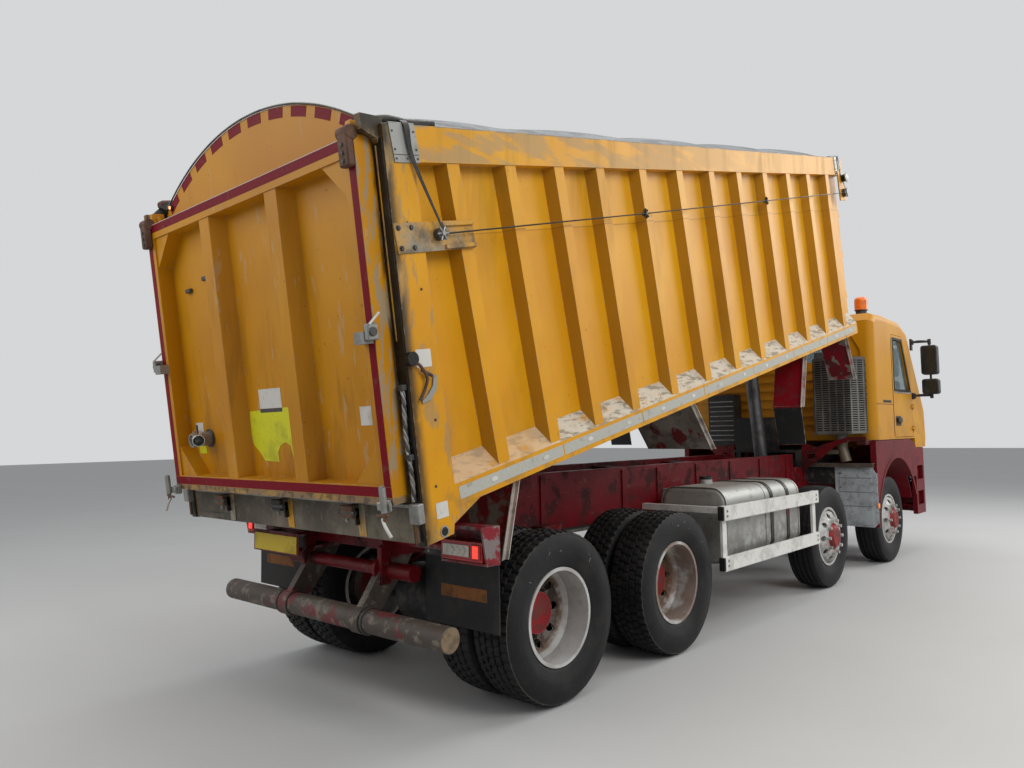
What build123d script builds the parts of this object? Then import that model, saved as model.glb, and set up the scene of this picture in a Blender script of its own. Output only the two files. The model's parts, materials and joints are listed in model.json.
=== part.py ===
from build123d import *
from math import atan2, cos, degrees, radians, sin, sqrt
import os

# Four-axle tipper truck with a ribbed steel bulk body, standing with its body tipped.
# Row frame: +X forward, +Y left, +Z up, origin on the floor under the middle of its box.
# Millimetres. Lengths along the truck are measured from the rearmost axle.

# Axles and wheels
axle_4_x = 0
axle_3_x = 1370
axle_2_x = 4475
axle_1_x = 6470
hub_z = 520
tyre_radius = 520
tyre_width = 294
shoulder_drop = 13
bead_radius = 286
rim_flange_radius = 297
rim_half_width = 116
rim_wall = 9
disc_offset = 160
disc_thickness = 12
hub_radius = 128
stud_circle_radius = 167.5
hand_hole_radius = 27
hand_hole_circle = 222
hand_hole_count = 10
rear_outer_tyre_y = 1047
rear_inner_tyre_y = rear_outer_tyre_y - 2 * disc_offset
front_tyre_y = 1018
kingpin_y = 845
kingpin_radius = 22
stub_radius = 40
running_clearance = 0.08
moving_gap = 6

# Chassis rails and subframe
rail_outer_y = 430
rail_flange = 80
rail_web = 8
rail_bottom_z = 905
rail_top_z = 1175
rail_rear_x = -700
rail_front_x = 7560
subframe_wall = 7
subframe_top_z = 1335
subframe_rear_x = -560
subframe_front_x = 5330
member_width = 90
coupling_z = 1040
coupling_spacing_y = 160
coupling_spacing_z = 100
coupling_hole_radius = 10.5
towing_bore_radius = 16
towing_bore_y = -300
towing_bore_z = 1040

# Tipping body: its pivot and its angle as it stands
pivot_x = -750
pivot_z = 1220
bed_tilt = 13.0
hinge_shaft_radius = 32
hinge_lug_y = 330

# Body sizes, along the body from the pivot and up from it
body_half_width = 1250
skin_y = 1168
skin_thickness = 6
skin_inner_y = skin_y - skin_thickness
rail_bottom_h = 83
rail_top_h = 200
shedder_top_h = 320
runner_bottom_h = subframe_top_z - pivot_z + moving_gap
floor_h = 252
floor_thickness = 8
top_rail_bottom_h = 1841
top_rail_top_h = 2028
top_rail_width = 120
headboard_foot_a = 6206
headboard_head_a = 6326
headboard_thickness = 8
rib_face = 92
rib_foot = 150
rib_outer_y = 1244
rib_places = (236, 700, 1159, 1608, 2141, 2671, 3198, 3709, 4250, 4791, 5313, 5855)
post_width = 185
ram_well_half_width = 210
ram_well_foot_a = 5560
ram_well_back_a = 5930

# Tailgate plane: its foot on the body, its rake and the sizes up the plane
gate_foot_a = -415
gate_foot_h = -43
gate_rake = 5.5
gate_depth = 118
gate_gap = 8
gate_bottom_up = 225
gate_top_up = 2030
gate_half_width = 1175
gate_skin = 6
gate_frame_width = 95
gate_rib_y = (-385, 385)
gate_rib_face = 120
gate_rib_foot = 210
gusset_reach = 200
gate_hinge_up = 2075
gate_hinge_back = 60
gate_ear_y = 1120
gate_pin_radius = 18
sill_top_up = 205
arch_foot_up = 2120
arch_rise = 330
arch_half_width = 1120

# Telescopic ram
ram_foot_x = 5420
ram_foot_z = 1200
ram_pin_a = 6170
ram_pin_h = 1850
ram_radii = (76, 63, 51, 40)
ram_tube_length = 1750
ram_step = 26

# Cab
cab_back_x = 5815
cab_front_x = 7830
cab_half_width = 1240
cab_floor_z = 1490
cab_roof_z = 3010
cab_wall = 45
cab_corner_radius = 90
door_rear_x = 6500
door_front_x = 7270
door_bottom_z = 1510
door_gap = 6
door_hinge_z = (1620, 1900)
door_hinge_x = door_front_x + 4
door_hinge_out = 14
door_pin_radius = 8
door_knuckle_radius = 13
window_bottom_z = 2075
bumper_bottom_z = 505


def bed_vector(along, up):
    """A direction of the tipped body in the truck's frame."""
    tilt = radians(bed_tilt)
    return Vector(along * cos(tilt) - up * sin(tilt), 0, along * sin(tilt) + up * cos(tilt))


gate_up = bed_vector(sin(radians(gate_rake)), cos(radians(gate_rake)))
gate_forward = bed_vector(cos(radians(gate_rake)), -sin(radians(gate_rake)))
gate_foot = Vector(pivot_x, 0, pivot_z) + bed_vector(gate_foot_a, gate_foot_h)
gate_top_back = gate_foot + gate_up * gate_top_up - gate_forward * gate_depth
truck_middle_x = (cab_front_x + gate_top_back.X) / 2
origin_x = -truck_middle_x


def side(y):
    """An upright plane along the truck: x along it, z up. Solids grow to the right."""
    return Plane(origin=(origin_x, y, 0), x_dir=(1, 0, 0), z_dir=(0, -1, 0))


def across(x):
    """An upright plane across the truck: y to the left, z up. Solids grow forward."""
    return Plane(origin=(origin_x + x, 0, 0), x_dir=(0, 1, 0), z_dir=(1, 0, 0))


def level(z):
    """A level plane: x along the truck, y to the left. Solids grow upward."""
    return Plane(origin=(origin_x, 0, z))


def bed_point(along, y, up):
    return Vector(origin_x + pivot_x, y, pivot_z) + bed_vector(along, up)


def bed_side(y):
    return Plane(origin=bed_point(0, y, 0), x_dir=bed_vector(1, 0), z_dir=(0, -1, 0))


def bed_across(along):
    return Plane(origin=bed_point(along, 0, 0), x_dir=(0, 1, 0), z_dir=bed_vector(1, 0))


def bed_level(up):
    return Plane(origin=bed_point(0, 0, up), x_dir=bed_vector(1, 0), z_dir=bed_vector(0, 1))


def gate_plane(behind):
    """A plane of the tailgate: y to the left, up the gate. Solids grow forward."""
    place = Vector(origin_x, 0, 0) + gate_foot - gate_forward * behind
    return Plane(origin=place, x_dir=(0, 1, 0), z_dir=gate_forward)


def gate_slice(y):
    """A section of the tailgate: forward of its plane, up the gate. Solids grow right."""
    place = Vector(origin_x, y, 0) + gate_foot
    return Plane(origin=place, x_dir=gate_forward, z_dir=(0, -1, 0))


def block(plane, x_span, y_span, height, mode=Mode.ADD):
    """A block on a plane: its two spans on the plane and its height off it."""
    with BuildSketch(plane) as outline:
        with Locations(((x_span[0] + x_span[1]) / 2, (y_span[0] + y_span[1]) / 2)):
            Rectangle(abs(x_span[1] - x_span[0]), abs(y_span[1] - y_span[0]))
    extrude(outline.sketch, amount=height, mode=mode)


def plate(plane, points, thickness, mode=Mode.ADD):
    """A plate or straight bar: its outline on a plane and its thickness off it."""
    with BuildSketch(plane) as outline:
        with BuildLine():
            Polyline(*points, close=True)
        make_face()
    extrude(outline.sketch, amount=thickness, mode=mode)


def disc(plane, centre, radius, height, mode=Mode.ADD):
    """A round bar or hole: its centre on a plane, its radius and its height off it."""
    with BuildSketch(plane) as outline:
        with Locations(centre):
            Circle(radius)
    extrude(outline.sketch, amount=height, mode=mode)


def tube_between(start, end, radius, mode=Mode.ADD):
    """A round bar between two points of the row frame."""
    run = Vector(*end) - Vector(*start)
    disc(Plane(origin=start, z_dir=run), (0, 0), radius, run.length, mode)


def finish(builder, name):
    """Label a finished piece and write it."""
    builder.part.label = name
    export_step(builder.part, f"parts/{name}.step")


def wheel_section(x, y=0):
    """The section plane of a wheel: y across, radius up, about the axle's line."""
    return Plane(origin=(origin_x + x, y, hub_z), x_dir=(0, 1, 0), z_dir=(1, 0, 0))


def axle_line(x):
    return Axis((origin_x + x, 0, hub_z), (0, 1, 0))


def tyre(x, centre_y):
    """One tyre: bead, bulging wall, shoulder and crown turned about the axle."""
    half_tread = tyre_width * 0.41
    half_bead = rim_half_width - 11
    bulge = tyre_width / 2
    shoulder = tyre_radius - shoulder_drop
    wall_middle = (bead_radius + shoulder) / 2
    bead_top = rim_flange_radius + 3
    with BuildSketch(wheel_section(x, centre_y)) as outline:
        with BuildLine():
            Line((-half_bead, bead_radius), (half_bead, bead_radius))
            Line((half_bead, bead_radius), (half_bead, bead_top))
            ThreePointArc((half_bead, bead_top), (bulge, wall_middle), (half_tread, shoulder))
            ThreePointArc((half_tread, shoulder), (0, tyre_radius), (-half_tread, shoulder))
            ThreePointArc((-half_tread, shoulder), (-bulge, wall_middle), (-half_bead, bead_top))
            Line((-half_bead, bead_top), (-half_bead, bead_radius))
        make_face()
    revolve(outline.sketch, axis=axle_line(x))


def rim(x, centre_y, outward, disc_side):
    """One rim: flanges, seats and well, and the dished disc towards disc_side."""
    seat = bead_radius - 0.3
    well = seat - rim_wall
    flange_y = rim_half_width
    lip = 10
    root = disc_side * 45
    face = disc_side * disc_offset
    back = face - disc_side * disc_thickness
    with BuildSketch(wheel_section(x, centre_y)) as outline:
        with BuildLine():
            Polyline(
                (-flange_y, rim_flange_radius),
                (-flange_y + lip, rim_flange_radius),
                (-flange_y + lip + 1, seat),
                (flange_y - lip - 1, seat),
                (flange_y - lip, rim_flange_radius),
                (flange_y, rim_flange_radius),
                (flange_y, well),
                (-flange_y, well),
                close=True,
            )
        make_face()
        with BuildLine():
            Polyline(
                (root, well + 1),
                (root + disc_side * 22, well + 1),
                (face - disc_side * 30, 245),
                (face, 200),
                (face, hub_radius - 2),
                (back, hub_radius - 2),
                (back, 194),
                (back - disc_side * 30, 235),
                close=True,
            )
        make_face()
    revolve(outline.sketch, axis=axle_line(x))
    hand_holes = Plane(origin=(origin_x + x, centre_y, hub_z), x_dir=(1, 0, 0), z_dir=(0, disc_side * outward, 0))
    with BuildSketch(hand_holes) as holes:
        with PolarLocations(hand_hole_circle, hand_hole_count):
            Circle(hand_hole_radius)
    extrude(holes.sketch, amount=disc_side * outward * face, both=True, mode=Mode.SUBTRACT)


def turned(x, points):
    """A solid turned about an axle from (y, radius) points."""
    with BuildSketch(wheel_section(x)) as outline:
        with BuildLine():
            Polyline(*points, close=True)
        make_face()
    revolve(outline.sketch, axis=axle_line(x))


def studs(x, face_y, outward, length):
    """Ten wheel nuts on a disc's outer face."""
    nuts = Plane(origin=(origin_x + x, face_y, hub_z), x_dir=(1, 0, 0), z_dir=(0, outward, 0))
    with BuildSketch(nuts) as outline:
        with PolarLocations(stud_circle_radius, 10):
            RegularPolygon(17, 6)
    extrude(outline.sketch, amount=length)


os.makedirs("parts", exist_ok=True)

# Chassis frame: two channel rails, cross members and the front bumper brackets
with BuildPart() as chassis_frame:
    rail_points = (
        (rail_rear_x, rail_bottom_z),
        (rail_front_x - 500, rail_bottom_z),
        (rail_front_x, rail_bottom_z + 60),
        (rail_front_x, rail_top_z - 60),
        (rail_front_x - 500, rail_top_z),
        (rail_rear_x, rail_top_z),
    )
    plate(side(-rail_outer_y + rail_flange), rail_points, rail_flange)
    hollow = (
        (rail_rear_x - 1, rail_bottom_z + rail_web),
        (rail_front_x - 500, rail_bottom_z + rail_web),
        (rail_front_x + 1, rail_bottom_z + 60 + rail_web),
        (rail_front_x + 1, rail_top_z - 60 - rail_web),
        (rail_front_x - 500, rail_top_z - rail_web),
        (rail_rear_x - 1, rail_top_z - rail_web),
    )
    plate(side(-rail_outer_y + rail_flange + 1), hollow, rail_flange + 1 - rail_web, Mode.SUBTRACT)
    mirror(about=Plane.XZ)
    member_span = (-rail_outer_y + rail_web / 2, rail_outer_y - rail_web / 2)
    for member_x in (rail_rear_x + 10, 685, 2100, 3300, 4475, 5700, 7350):
        block(across(member_x), member_span, (rail_bottom_z + 30, rail_top_z - 30), member_width)
    # Bolt holes for a coupling in the rearmost member
    with BuildSketch(across(rail_rear_x)) as coupling_holes:
        with Locations((0, coupling_z)):
            with GridLocations(coupling_spacing_y, coupling_spacing_z, 2, 2):
                Circle(coupling_hole_radius)
    extrude(coupling_holes.sketch, amount=member_width + 20, mode=Mode.SUBTRACT)
    # Cab mounts: two uprights and a tie behind, two in front
    for hand in (1, -1):
        block(level(rail_top_z), (5850, 5950), (hand * 350, hand * 430), cab_floor_z - rail_top_z)
        block(level(rail_top_z - 30), (7380, 7480), (hand * 350, hand * 430), 1370 - rail_top_z + 30)
    block(level(1430), (5860, 5940), (-430, 430), 50)
finish(chassis_frame, "chassis_frame")

# Subframe: box rails on the chassis, stiffened plates, the rear hinge and the ram's bearer
with BuildPart() as subframe:
    for hand in (1, -1):
        block(
            side(hand * (rail_outer_y - 35) + 35),
            (subframe_rear_x, subframe_front_x),
            (rail_top_z, subframe_top_z),
            70,
        )
    for tie_x in (-400, 1000, 2400, 3700, 4900):
        block(across(tie_x), (-rail_outer_y + 50, rail_outer_y - 50), (rail_top_z + 20, subframe_top_z - 30), 80)
    for hand in (1, -1):
        for web_x in (-300, 685, 1750, 2300, 3000, 3700, 4400, 5100):
            block(
                side(hand * (rail_outer_y + 6) + 6),
                (web_x, web_x + 60),
                (rail_bottom_z + 30, subframe_top_z - 20),
                12,
            )
    # Hinge brackets rise from the rails' ends and hold the tipping shaft
    for hand in (1, -1):
        bracket = (
            (rail_rear_x - 130, pivot_z - 60),
            (rail_rear_x - 130, pivot_z + 45),
            (pivot_x + 60, pivot_z + 55),
            (subframe_rear_x + 5, subframe_top_z - 10),
            (subframe_rear_x + 5, rail_top_z),
            (rail_rear_x, rail_top_z),
            (rail_rear_x, rail_bottom_z + 60),
            (rail_rear_x - 60, rail_bottom_z + 60),
        )
        plate(side(hand * 405 + 15), bracket, 30)
    shaft_start = (origin_x + pivot_x, -470, pivot_z)
    shaft_end = (origin_x + pivot_x, 470, pivot_z)
    tube_between(shaft_start, shaft_end, hinge_shaft_radius)
    # Bearer for the ram's foot, and its two ears
    bearer_y = rail_outer_y - rail_web
    block(level(ram_foot_z - 130), (ram_foot_x - 90, ram_foot_x + 90), (-bearer_y, bearer_y), 50)
    for hand in (1, -1):
        block(side(hand * 110 + 12), (ram_foot_x - 55, ram_foot_x + 55), (ram_foot_z - 90, ram_foot_z + 50), 24)
    tube_between((origin_x + ram_foot_x, -122, ram_foot_z), (origin_x + ram_foot_x, 122, ram_foot_z), 25)
finish(subframe, "subframe")

# Rear underrun bar on two arms
bar_x = -885
bar_z = 556
with BuildPart() as underrun_bar:
    tube_between((origin_x + bar_x, -1130, bar_z), (origin_x + bar_x, 1130, bar_z), 70)
    for hand in (1, -1):
        arm = (
            (bar_x - 40, bar_z + 55),
            (bar_x + 60, bar_z - 30),
            (rail_rear_x + 140, rail_bottom_z - 60),
            (rail_rear_x + 180, rail_bottom_z),
            (rail_rear_x - 20, rail_bottom_z),
        )
        plate(side(hand * 380 + 25), arm, 50)
        tube_between(
            (origin_x + bar_x, hand * 380 - 45, bar_z), (origin_x + bar_x, hand * 380 + 45, bar_z), 82
        )
    # Lamp carriers on tubes from the rails
    for hand in (1, -1):
        carrier = (
            (-720, 925),
            (-620, 925),
            (-620, 1135),
            (-760, 1135),
            (-760, 1120),
            (-632, 1120),
            (-632, 937),
            (-720, 937),
        )
        if hand > 0:
            plate(side(1240), carrier, 350)
        else:
            plate(side(-890), carrier, 350)
        plate(side(hand * 1243 + 6), ((-720, 925), (-620, 925), (-620, 1135), (-760, 1135)), 12)
        tube_between((origin_x - 655, hand * rail_outer_y, 1000), (origin_x - 655, hand * 892, 1000), 30)
finish(underrun_bar, "underrun_bar")

# Lamps: rear clusters, headlamps, roof beacons and side markers
beacon_x = 6020
lamp_back_x = -735
headlamp_z = 900
with BuildPart() as lamps:
    for hand in (1, -1):
        if hand > 0:
            block(side(1225), (lamp_back_x, -632), (945, 1050), 320)
        else:
            block(side(-905), (lamp_back_x, -632), (945, 1050), 320)
    for hand in (1, -1):
        block(across(7700), (hand * 720, hand * 1050), (headlamp_z, headlamp_z + 190), 120)
        # Roof beacons stand on short stems
        disc(level(3005), (beacon_x, hand * 1060), 62, 48)
        disc(level(3050), (beacon_x, hand * 1060), 74, 165)
    beacon_tops = lamps.faces().filter_by(lambda face: abs(face.center().Z - 3215) < 1)
    fillet(beacon_tops.edges(), 42)
finish(lamps, "lamps")

# Rear mudflaps
with BuildPart() as mudflaps:
    for hand in (1, -1):
        block(across(-620), (hand * 640, hand * 1236), (545, 985), 8)
finish(mudflaps, "mudflaps")

# Steered front axles: forged beams with an eye at each end
with BuildPart() as front_axles:
    for beam_x in (axle_1_x, axle_2_x):
        beam = (
            (-kingpin_y - 40, hub_z + 50),
            (-kingpin_y - 40, hub_z - 50),
            (-kingpin_y + 120, hub_z - 60),
            (-520, hub_z - 150),
            (520, hub_z - 150),
            (kingpin_y - 120, hub_z - 60),
            (kingpin_y + 40, hub_z - 50),
            (kingpin_y + 40, hub_z + 50),
            (kingpin_y - 90, hub_z + 50),
            (480, hub_z - 55),
            (-480, hub_z - 55),
            (-kingpin_y + 90, hub_z + 50),
        )
        plate(across(beam_x - 45), beam, 90)
        for hand in (1, -1):
            disc(level(hub_z - 50), (beam_x, hand * kingpin_y), 52, 100)
            disc(level(hub_z - 60), (beam_x, hand * kingpin_y), kingpin_radius + running_clearance, 120, Mode.SUBTRACT)
finish(front_axles, "front_axles")

# Driven rear axles: housings with a round bowl
axle_tube_y = 640
spindle_y = 707
spindle_radius = 60
nose_z = hub_z + 55
nose_length = 380
tail_length = 260
with BuildPart() as rear_axles:
    for housing_x in (axle_3_x, axle_4_x):
        middle = origin_x + housing_x
        tube_between((middle, -axle_tube_y, hub_z), (middle, axle_tube_y, hub_z), 70)
        tube_between((middle, -spindle_y, hub_z), (middle, spindle_y, hub_z), spindle_radius - running_clearance)
        with BuildSketch(wheel_section(housing_x)) as bowl:
            with BuildLine():
                Polyline((-330, 0), (-330, 72), (-150, 205), (150, 205), (330, 72), (330, 0), close=True)
            make_face()
        revolve(bowl.sketch, axis=axle_line(housing_x))
        tube_between((middle, 0, nose_z), (middle + nose_length, 0, nose_z), 100)
    tail_end = origin_x + axle_3_x
    tube_between((tail_end - tail_length, 0, nose_z), (tail_end, 0, nose_z), 80)
finish(rear_axles, "rear_axles")

# Leaf springs: front packs and the rear bogie packs
spring_y = 395
bogie_spring_y = 494
with BuildPart() as springs:
    for hand in (1, -1):
        for spring_x in (axle_1_x, axle_2_x):
            for leaf in range(4):
                half = 760 - leaf * 150
                drop = 12 * leaf
                leaf_points = (
                    (spring_x - half, 700 - drop - leaf * 42),
                    (spring_x, 512 - drop),
                    (spring_x + half, 700 - drop - leaf * 42),
                    (spring_x + half, 714 - drop - leaf * 42),
                    (spring_x, 526 - drop),
                    (spring_x - half, 714 - drop - leaf * 42),
                )
                plate(side(hand * spring_y + 38), leaf_points, 76)
            block(side(hand * spring_y + 45), (spring_x - 70, spring_x + 70), (hub_z - 55, 530), 90)
            for end in (-1, 1):
                hanger = (
                    (spring_x + end * 760 - 45, 690),
                    (spring_x + end * 760 + 45, 690),
                    (spring_x + end * 700 + 60, rail_bottom_z),
                    (spring_x + end * 700 - 60, rail_bottom_z),
                )
                plate(side(hand * spring_y + 30), hanger, 60)
        middle = (axle_3_x + axle_4_x) / 2
        for leaf in range(4):
            half = 690 - leaf * 140
            leaf_points = (
                (middle - half, 610 + leaf * 40),
                (middle, 800 + leaf * 14),
                (middle + half, 610 + leaf * 40),
                (middle + half, 624 + leaf * 40),
                (middle, 814 + leaf * 14),
                (middle - half, 624 + leaf * 40),
            )
            plate(side(hand * bogie_spring_y + 40), leaf_points, 80)
        block(side(hand * bogie_spring_y + 50), (middle - 110, middle + 110), (790, 960), 100)
        for end_x in (axle_3_x, axle_4_x):
            block(side(hand * bogie_spring_y + 45), (end_x - 60, end_x + 60), (590, 640), 90)
finish(springs, "springs")

# Driveline: engine as one plain block, gearbox, propeller shafts and the exhaust bend
with BuildPart() as driveline:
    block(level(700), (6150, 7250), (-330, 330), 700)
    for mount_x in (5080, 6300, 6900):
        block(level(rail_bottom_z + rail_web), (mount_x, mount_x + 90), (-400, 400), 45)
    block(level(540), (5000, 6150), (-230, 230), 380)
    tube_between((origin_x + axle_3_x + nose_length + 3, 0, nose_z), (origin_x + 5000, 0, 720), 55)
    tube_between(
        (origin_x + axle_4_x + nose_length + 0.3, 0, nose_z),
        (origin_x + axle_3_x - tail_length - 0.3, 0, nose_z),
        50,
    )
finish(driveline, "driveline")

# Fuel tank with rounded corners on two bearers
with BuildPart() as fuel_tank:
    tank_span_x = (2180, 3670)
    with BuildSketch(across(tank_span_x[0])) as section:
        with Locations((-855, 845)):
            RectangleRounded(600, 620, 130)
    extrude(section.sketch, amount=tank_span_x[1] - tank_span_x[0])
    fillet(fuel_tank.faces().filter_by(Axis.X).edges(), 36)
    for bearer_x in (2400, 3350):
        block(across(bearer_x), (-rail_outer_y, -560), (rail_bottom_z + 20, rail_top_z - 60), 90)
    disc(level(1150), (2700, -700), 60, 40)
finish(fuel_tank, "fuel_tank")

# Side guards on both sides
guard_span = (1960, 3930)
with BuildPart() as side_guards:
    block(side(-1220), guard_span, (915, 1030), 28)
    block(side(-1220), guard_span, (520, 630), 28)
    # The arms stand clear of the mud shields, which pass them as the bed comes down
    for post_x, arm_x, root_y in (
        (guard_span[0] + 60, 2060, -rail_outer_y),
        (guard_span[1] - 60, 3700, -rail_outer_y - 12),
    ):
        block(side(-1198), (post_x - 35, post_x + 35), (520, 1030), 22)
        block(across(arm_x), (-1220, root_y), (960, 1010), 70)
    mirror(about=Plane.XZ)
finish(side_guards, "side_guards")

# Mud screens behind the first axle: a ribbed grey plate across each side under a bent lip, and a black inner plate
screen_x = 5700
with BuildPart() as mud_screens:
    screen_points = (
        (-1252, 540),
        (-1200, 490),
        (-780, 490),
        (-780, 1180),
        (-1200, 1180),
        (-1230, 1120),
        (-1252, 1105),
    )
    plate(across(screen_x), screen_points, 12)
    for rib_z, rib_top_z in ((515, 718), (730, 881), (893, 1044), (1056, 1165)):
        block(across(screen_x - 8), (-1190, -830), (rib_z, rib_top_z), 9)
    block(across(screen_x), (-785, -455), (980, 1180), 12)
    block(across(screen_x - 42), (-1222, -450), (1176, 1222), 5)
    block(level(1216), (screen_x - 42, screen_x + 38), (-1222, -450), 6)
    block(across(screen_x + 2), (-1222, -450), (1175, 1218), 5)
    for bracket_z in (620, 1060):
        block(across(screen_x + 10), (-1240, -1190), (bracket_z, bracket_z + 40), 29.7)
    block(across(screen_x + 2), (-500, -rail_outer_y), (1010, 1160), 10)
    mirror(about=Plane.XZ)
finish(mud_screens, "mud_screens")

# Cab carriers: a raked red plate with a hole on each side, from the rail out to the cab's rear corner
carrier_x = 5600
with BuildPart() as cab_carriers:
    carrier_points = (
        (-430, 1010),
        (-430, 1170),
        (-436, 1400),
        (-455, 1455),
        (-543, 1437),
        (-615, 1417),
        (-816, 1480),
        (-975, 1530),
        (-1190, 1536),
        (-1190, 1492),
        (-1044, 1486),
        (-865, 1444),
        (-766, 1372),
        (-664, 1281),
        (-494, 1165),
    )
    plate(across(carrier_x - 12), carrier_points, 12)
    with BuildSketch(across(carrier_x - 20)) as hole:
        with Locations((-547, 1310)):
            Ellipse(52, 34, rotation=-20)
    extrude(hole.sketch, amount=40, mode=Mode.SUBTRACT)
    block(level(1440), (carrier_x - 6, 5990), (-1180, -1080), 49.5)
    block(level(1010), (carrier_x - 6, carrier_x + 60), (-445, -rail_outer_y), 150)
    mirror(about=Plane.XZ)
finish(cab_carriers, "cab_carriers")

# Units behind the cab: oil tank, air filter stack and air reservoirs
with BuildPart() as cab_back_units:
    block(level(1380), (5560, 5760), (-90, 400), 400)
    block(level(1430), (5600, 5790), (420, 790), 660)
    block(level(rail_top_z), (5610, 5700), (360, 430), 195)
    block(level(rail_top_z), (5570, 5640), (-430, -360), 195)
    block(level(rail_top_z + 175), (5570, 5640), (-430, 430), 30)
    block(level(rail_top_z + 175), (5570, 5750), (-90, 430), 30)
    block(level(1400), (5610, 5740), (360, 760), 30)
    for reservoir_z in (760, 1010):
        tube_between((origin_x + 2300, 760, reservoir_z), (origin_x + 3400, 760, reservoir_z), 115)
        for strap_x in (2500, 3200):
            block(across(strap_x), (rail_outer_y, 700), (reservoir_z - 30, reservoir_z + 30), 60)
    for strap_x in (2500, 3200):
        block(across(strap_x), (rail_outer_y, rail_outer_y + 30), (700, 1060), 60)
finish(cab_back_units, "cab_back_units")

# Perforated heat guard behind the cab with the exhaust stack inside
guard_top_z = 2470
guard_bottom_z = 1570
with BuildPart() as heat_guard:
    shell_points = (
        (5600, -600),
        (5600, -1030),
        (5790, -1150),
        (5790, -1140),
        (5610, -1024),
        (5610, -600),
    )
    plate(level(guard_bottom_z), shell_points, guard_top_z - guard_bottom_z)
    tube_between((origin_x + 5695, -880, 1400), (origin_x + 5690, -880, 2440), 62)
    tube_between((origin_x + 5685, -925, 1240), (origin_x + 5697, -873, 1440), 60)
    block(level(1560), (5605, 5800), (-1020, -560), 10)
    block(level(1330), (5650, 5740), (-880, -380), 50)
    block(level(rail_top_z), (5650, 5740), (-430.3, -380), 155)
finish(heat_guard, "heat_guard")

# Front wings: red arches, the inner liners and the guards behind the wheels
wing_arch_radius = 760
with BuildPart() as front_wings:
    wing_outer = (
        (5740, 490),
        (5900, 490),
        (5900, 1000),
        (7330, 1000),
        (7330, 1400),
        (7100, 1482),
        (5740, 1482),
    )
    plate(side(-1180), wing_outer, 64)
    disc(side(-1170), (axle_1_x + 60, hub_z - 20), wing_arch_radius, 84, Mode.SUBTRACT)
    with BuildSketch(side(-560)) as liner:
        with Locations((axle_1_x + 60, hub_z - 20)):
            Circle(wing_arch_radius + 12)
            Circle(wing_arch_radius, mode=Mode.SUBTRACT)
            with Locations((0, -600)):
                Rectangle(2000, 1640, mode=Mode.SUBTRACT)
    extrude(liner.sketch, amount=625)
    block(across(5760), (-1180, -430), (1090, 1150), 50)
    # Rolled lip round the arch
    with BuildSketch(side(-1244)) as lip:
        with Locations((axle_1_x + 60, hub_z - 20)):
            Circle(wing_arch_radius + 34)
            Circle(wing_arch_radius, mode=Mode.SUBTRACT)
            with Locations((0, -600)):
                Rectangle(2000, 1740, mode=Mode.SUBTRACT)
    extrude(lip.sketch, amount=6)
    mirror(about=Plane.XZ)
finish(front_wings, "front_wings")

# Bumper with its corners, steps and under plate
bumper_back_x = 7330
with BuildPart() as bumper:
    bumper_points = (
        (bumper_back_x, -1235),
        (7700, -1235),
        (cab_front_x - 20, -1050),
        (cab_front_x, -600),
        (cab_front_x, 600),
        (cab_front_x - 20, 1050),
        (7700, 1235),
        (bumper_back_x, 1235),
        (bumper_back_x, 1180),
        (7650, 1180),
        (7740, 1000),
        (7760, 600),
        (7760, -600),
        (7740, -1000),
        (7650, -1180),
        (bumper_back_x, -1180),
    )
    plate(level(bumper_bottom_z), bumper_points, 860)
    block(across(rail_front_x), (-rail_outer_y, rail_outer_y), (980, 1100), 205)
    disc(across(rail_front_x + 85), (towing_bore_y, towing_bore_z), towing_bore_radius, 300, Mode.SUBTRACT)
    disc(across(7759), (towing_bore_y, towing_bore_z), 45, 120, Mode.SUBTRACT)
    for hand in (1, -1):
        block(across(7640), (hand * 700, hand * 1070), (headlamp_z - 20, headlamp_z + 210), 200, Mode.SUBTRACT)
        block(level(headlamp_z - 30), (7650, 7740), (hand * 700, hand * 1070), 30)
    for hand in (1, -1):
        for step_z in (620, 950):
            block(side(hand * 1215 + 30), (7380, 7640), (step_z, step_z + 180), 60, Mode.SUBTRACT)
            if hand > 0:
                block(side(1180), (7360, 7660), (step_z - 12, step_z), 130)
            else:
                block(side(-1050), (7360, 7660), (step_z - 12, step_z), 130)
finish(bumper, "bumper")

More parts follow.
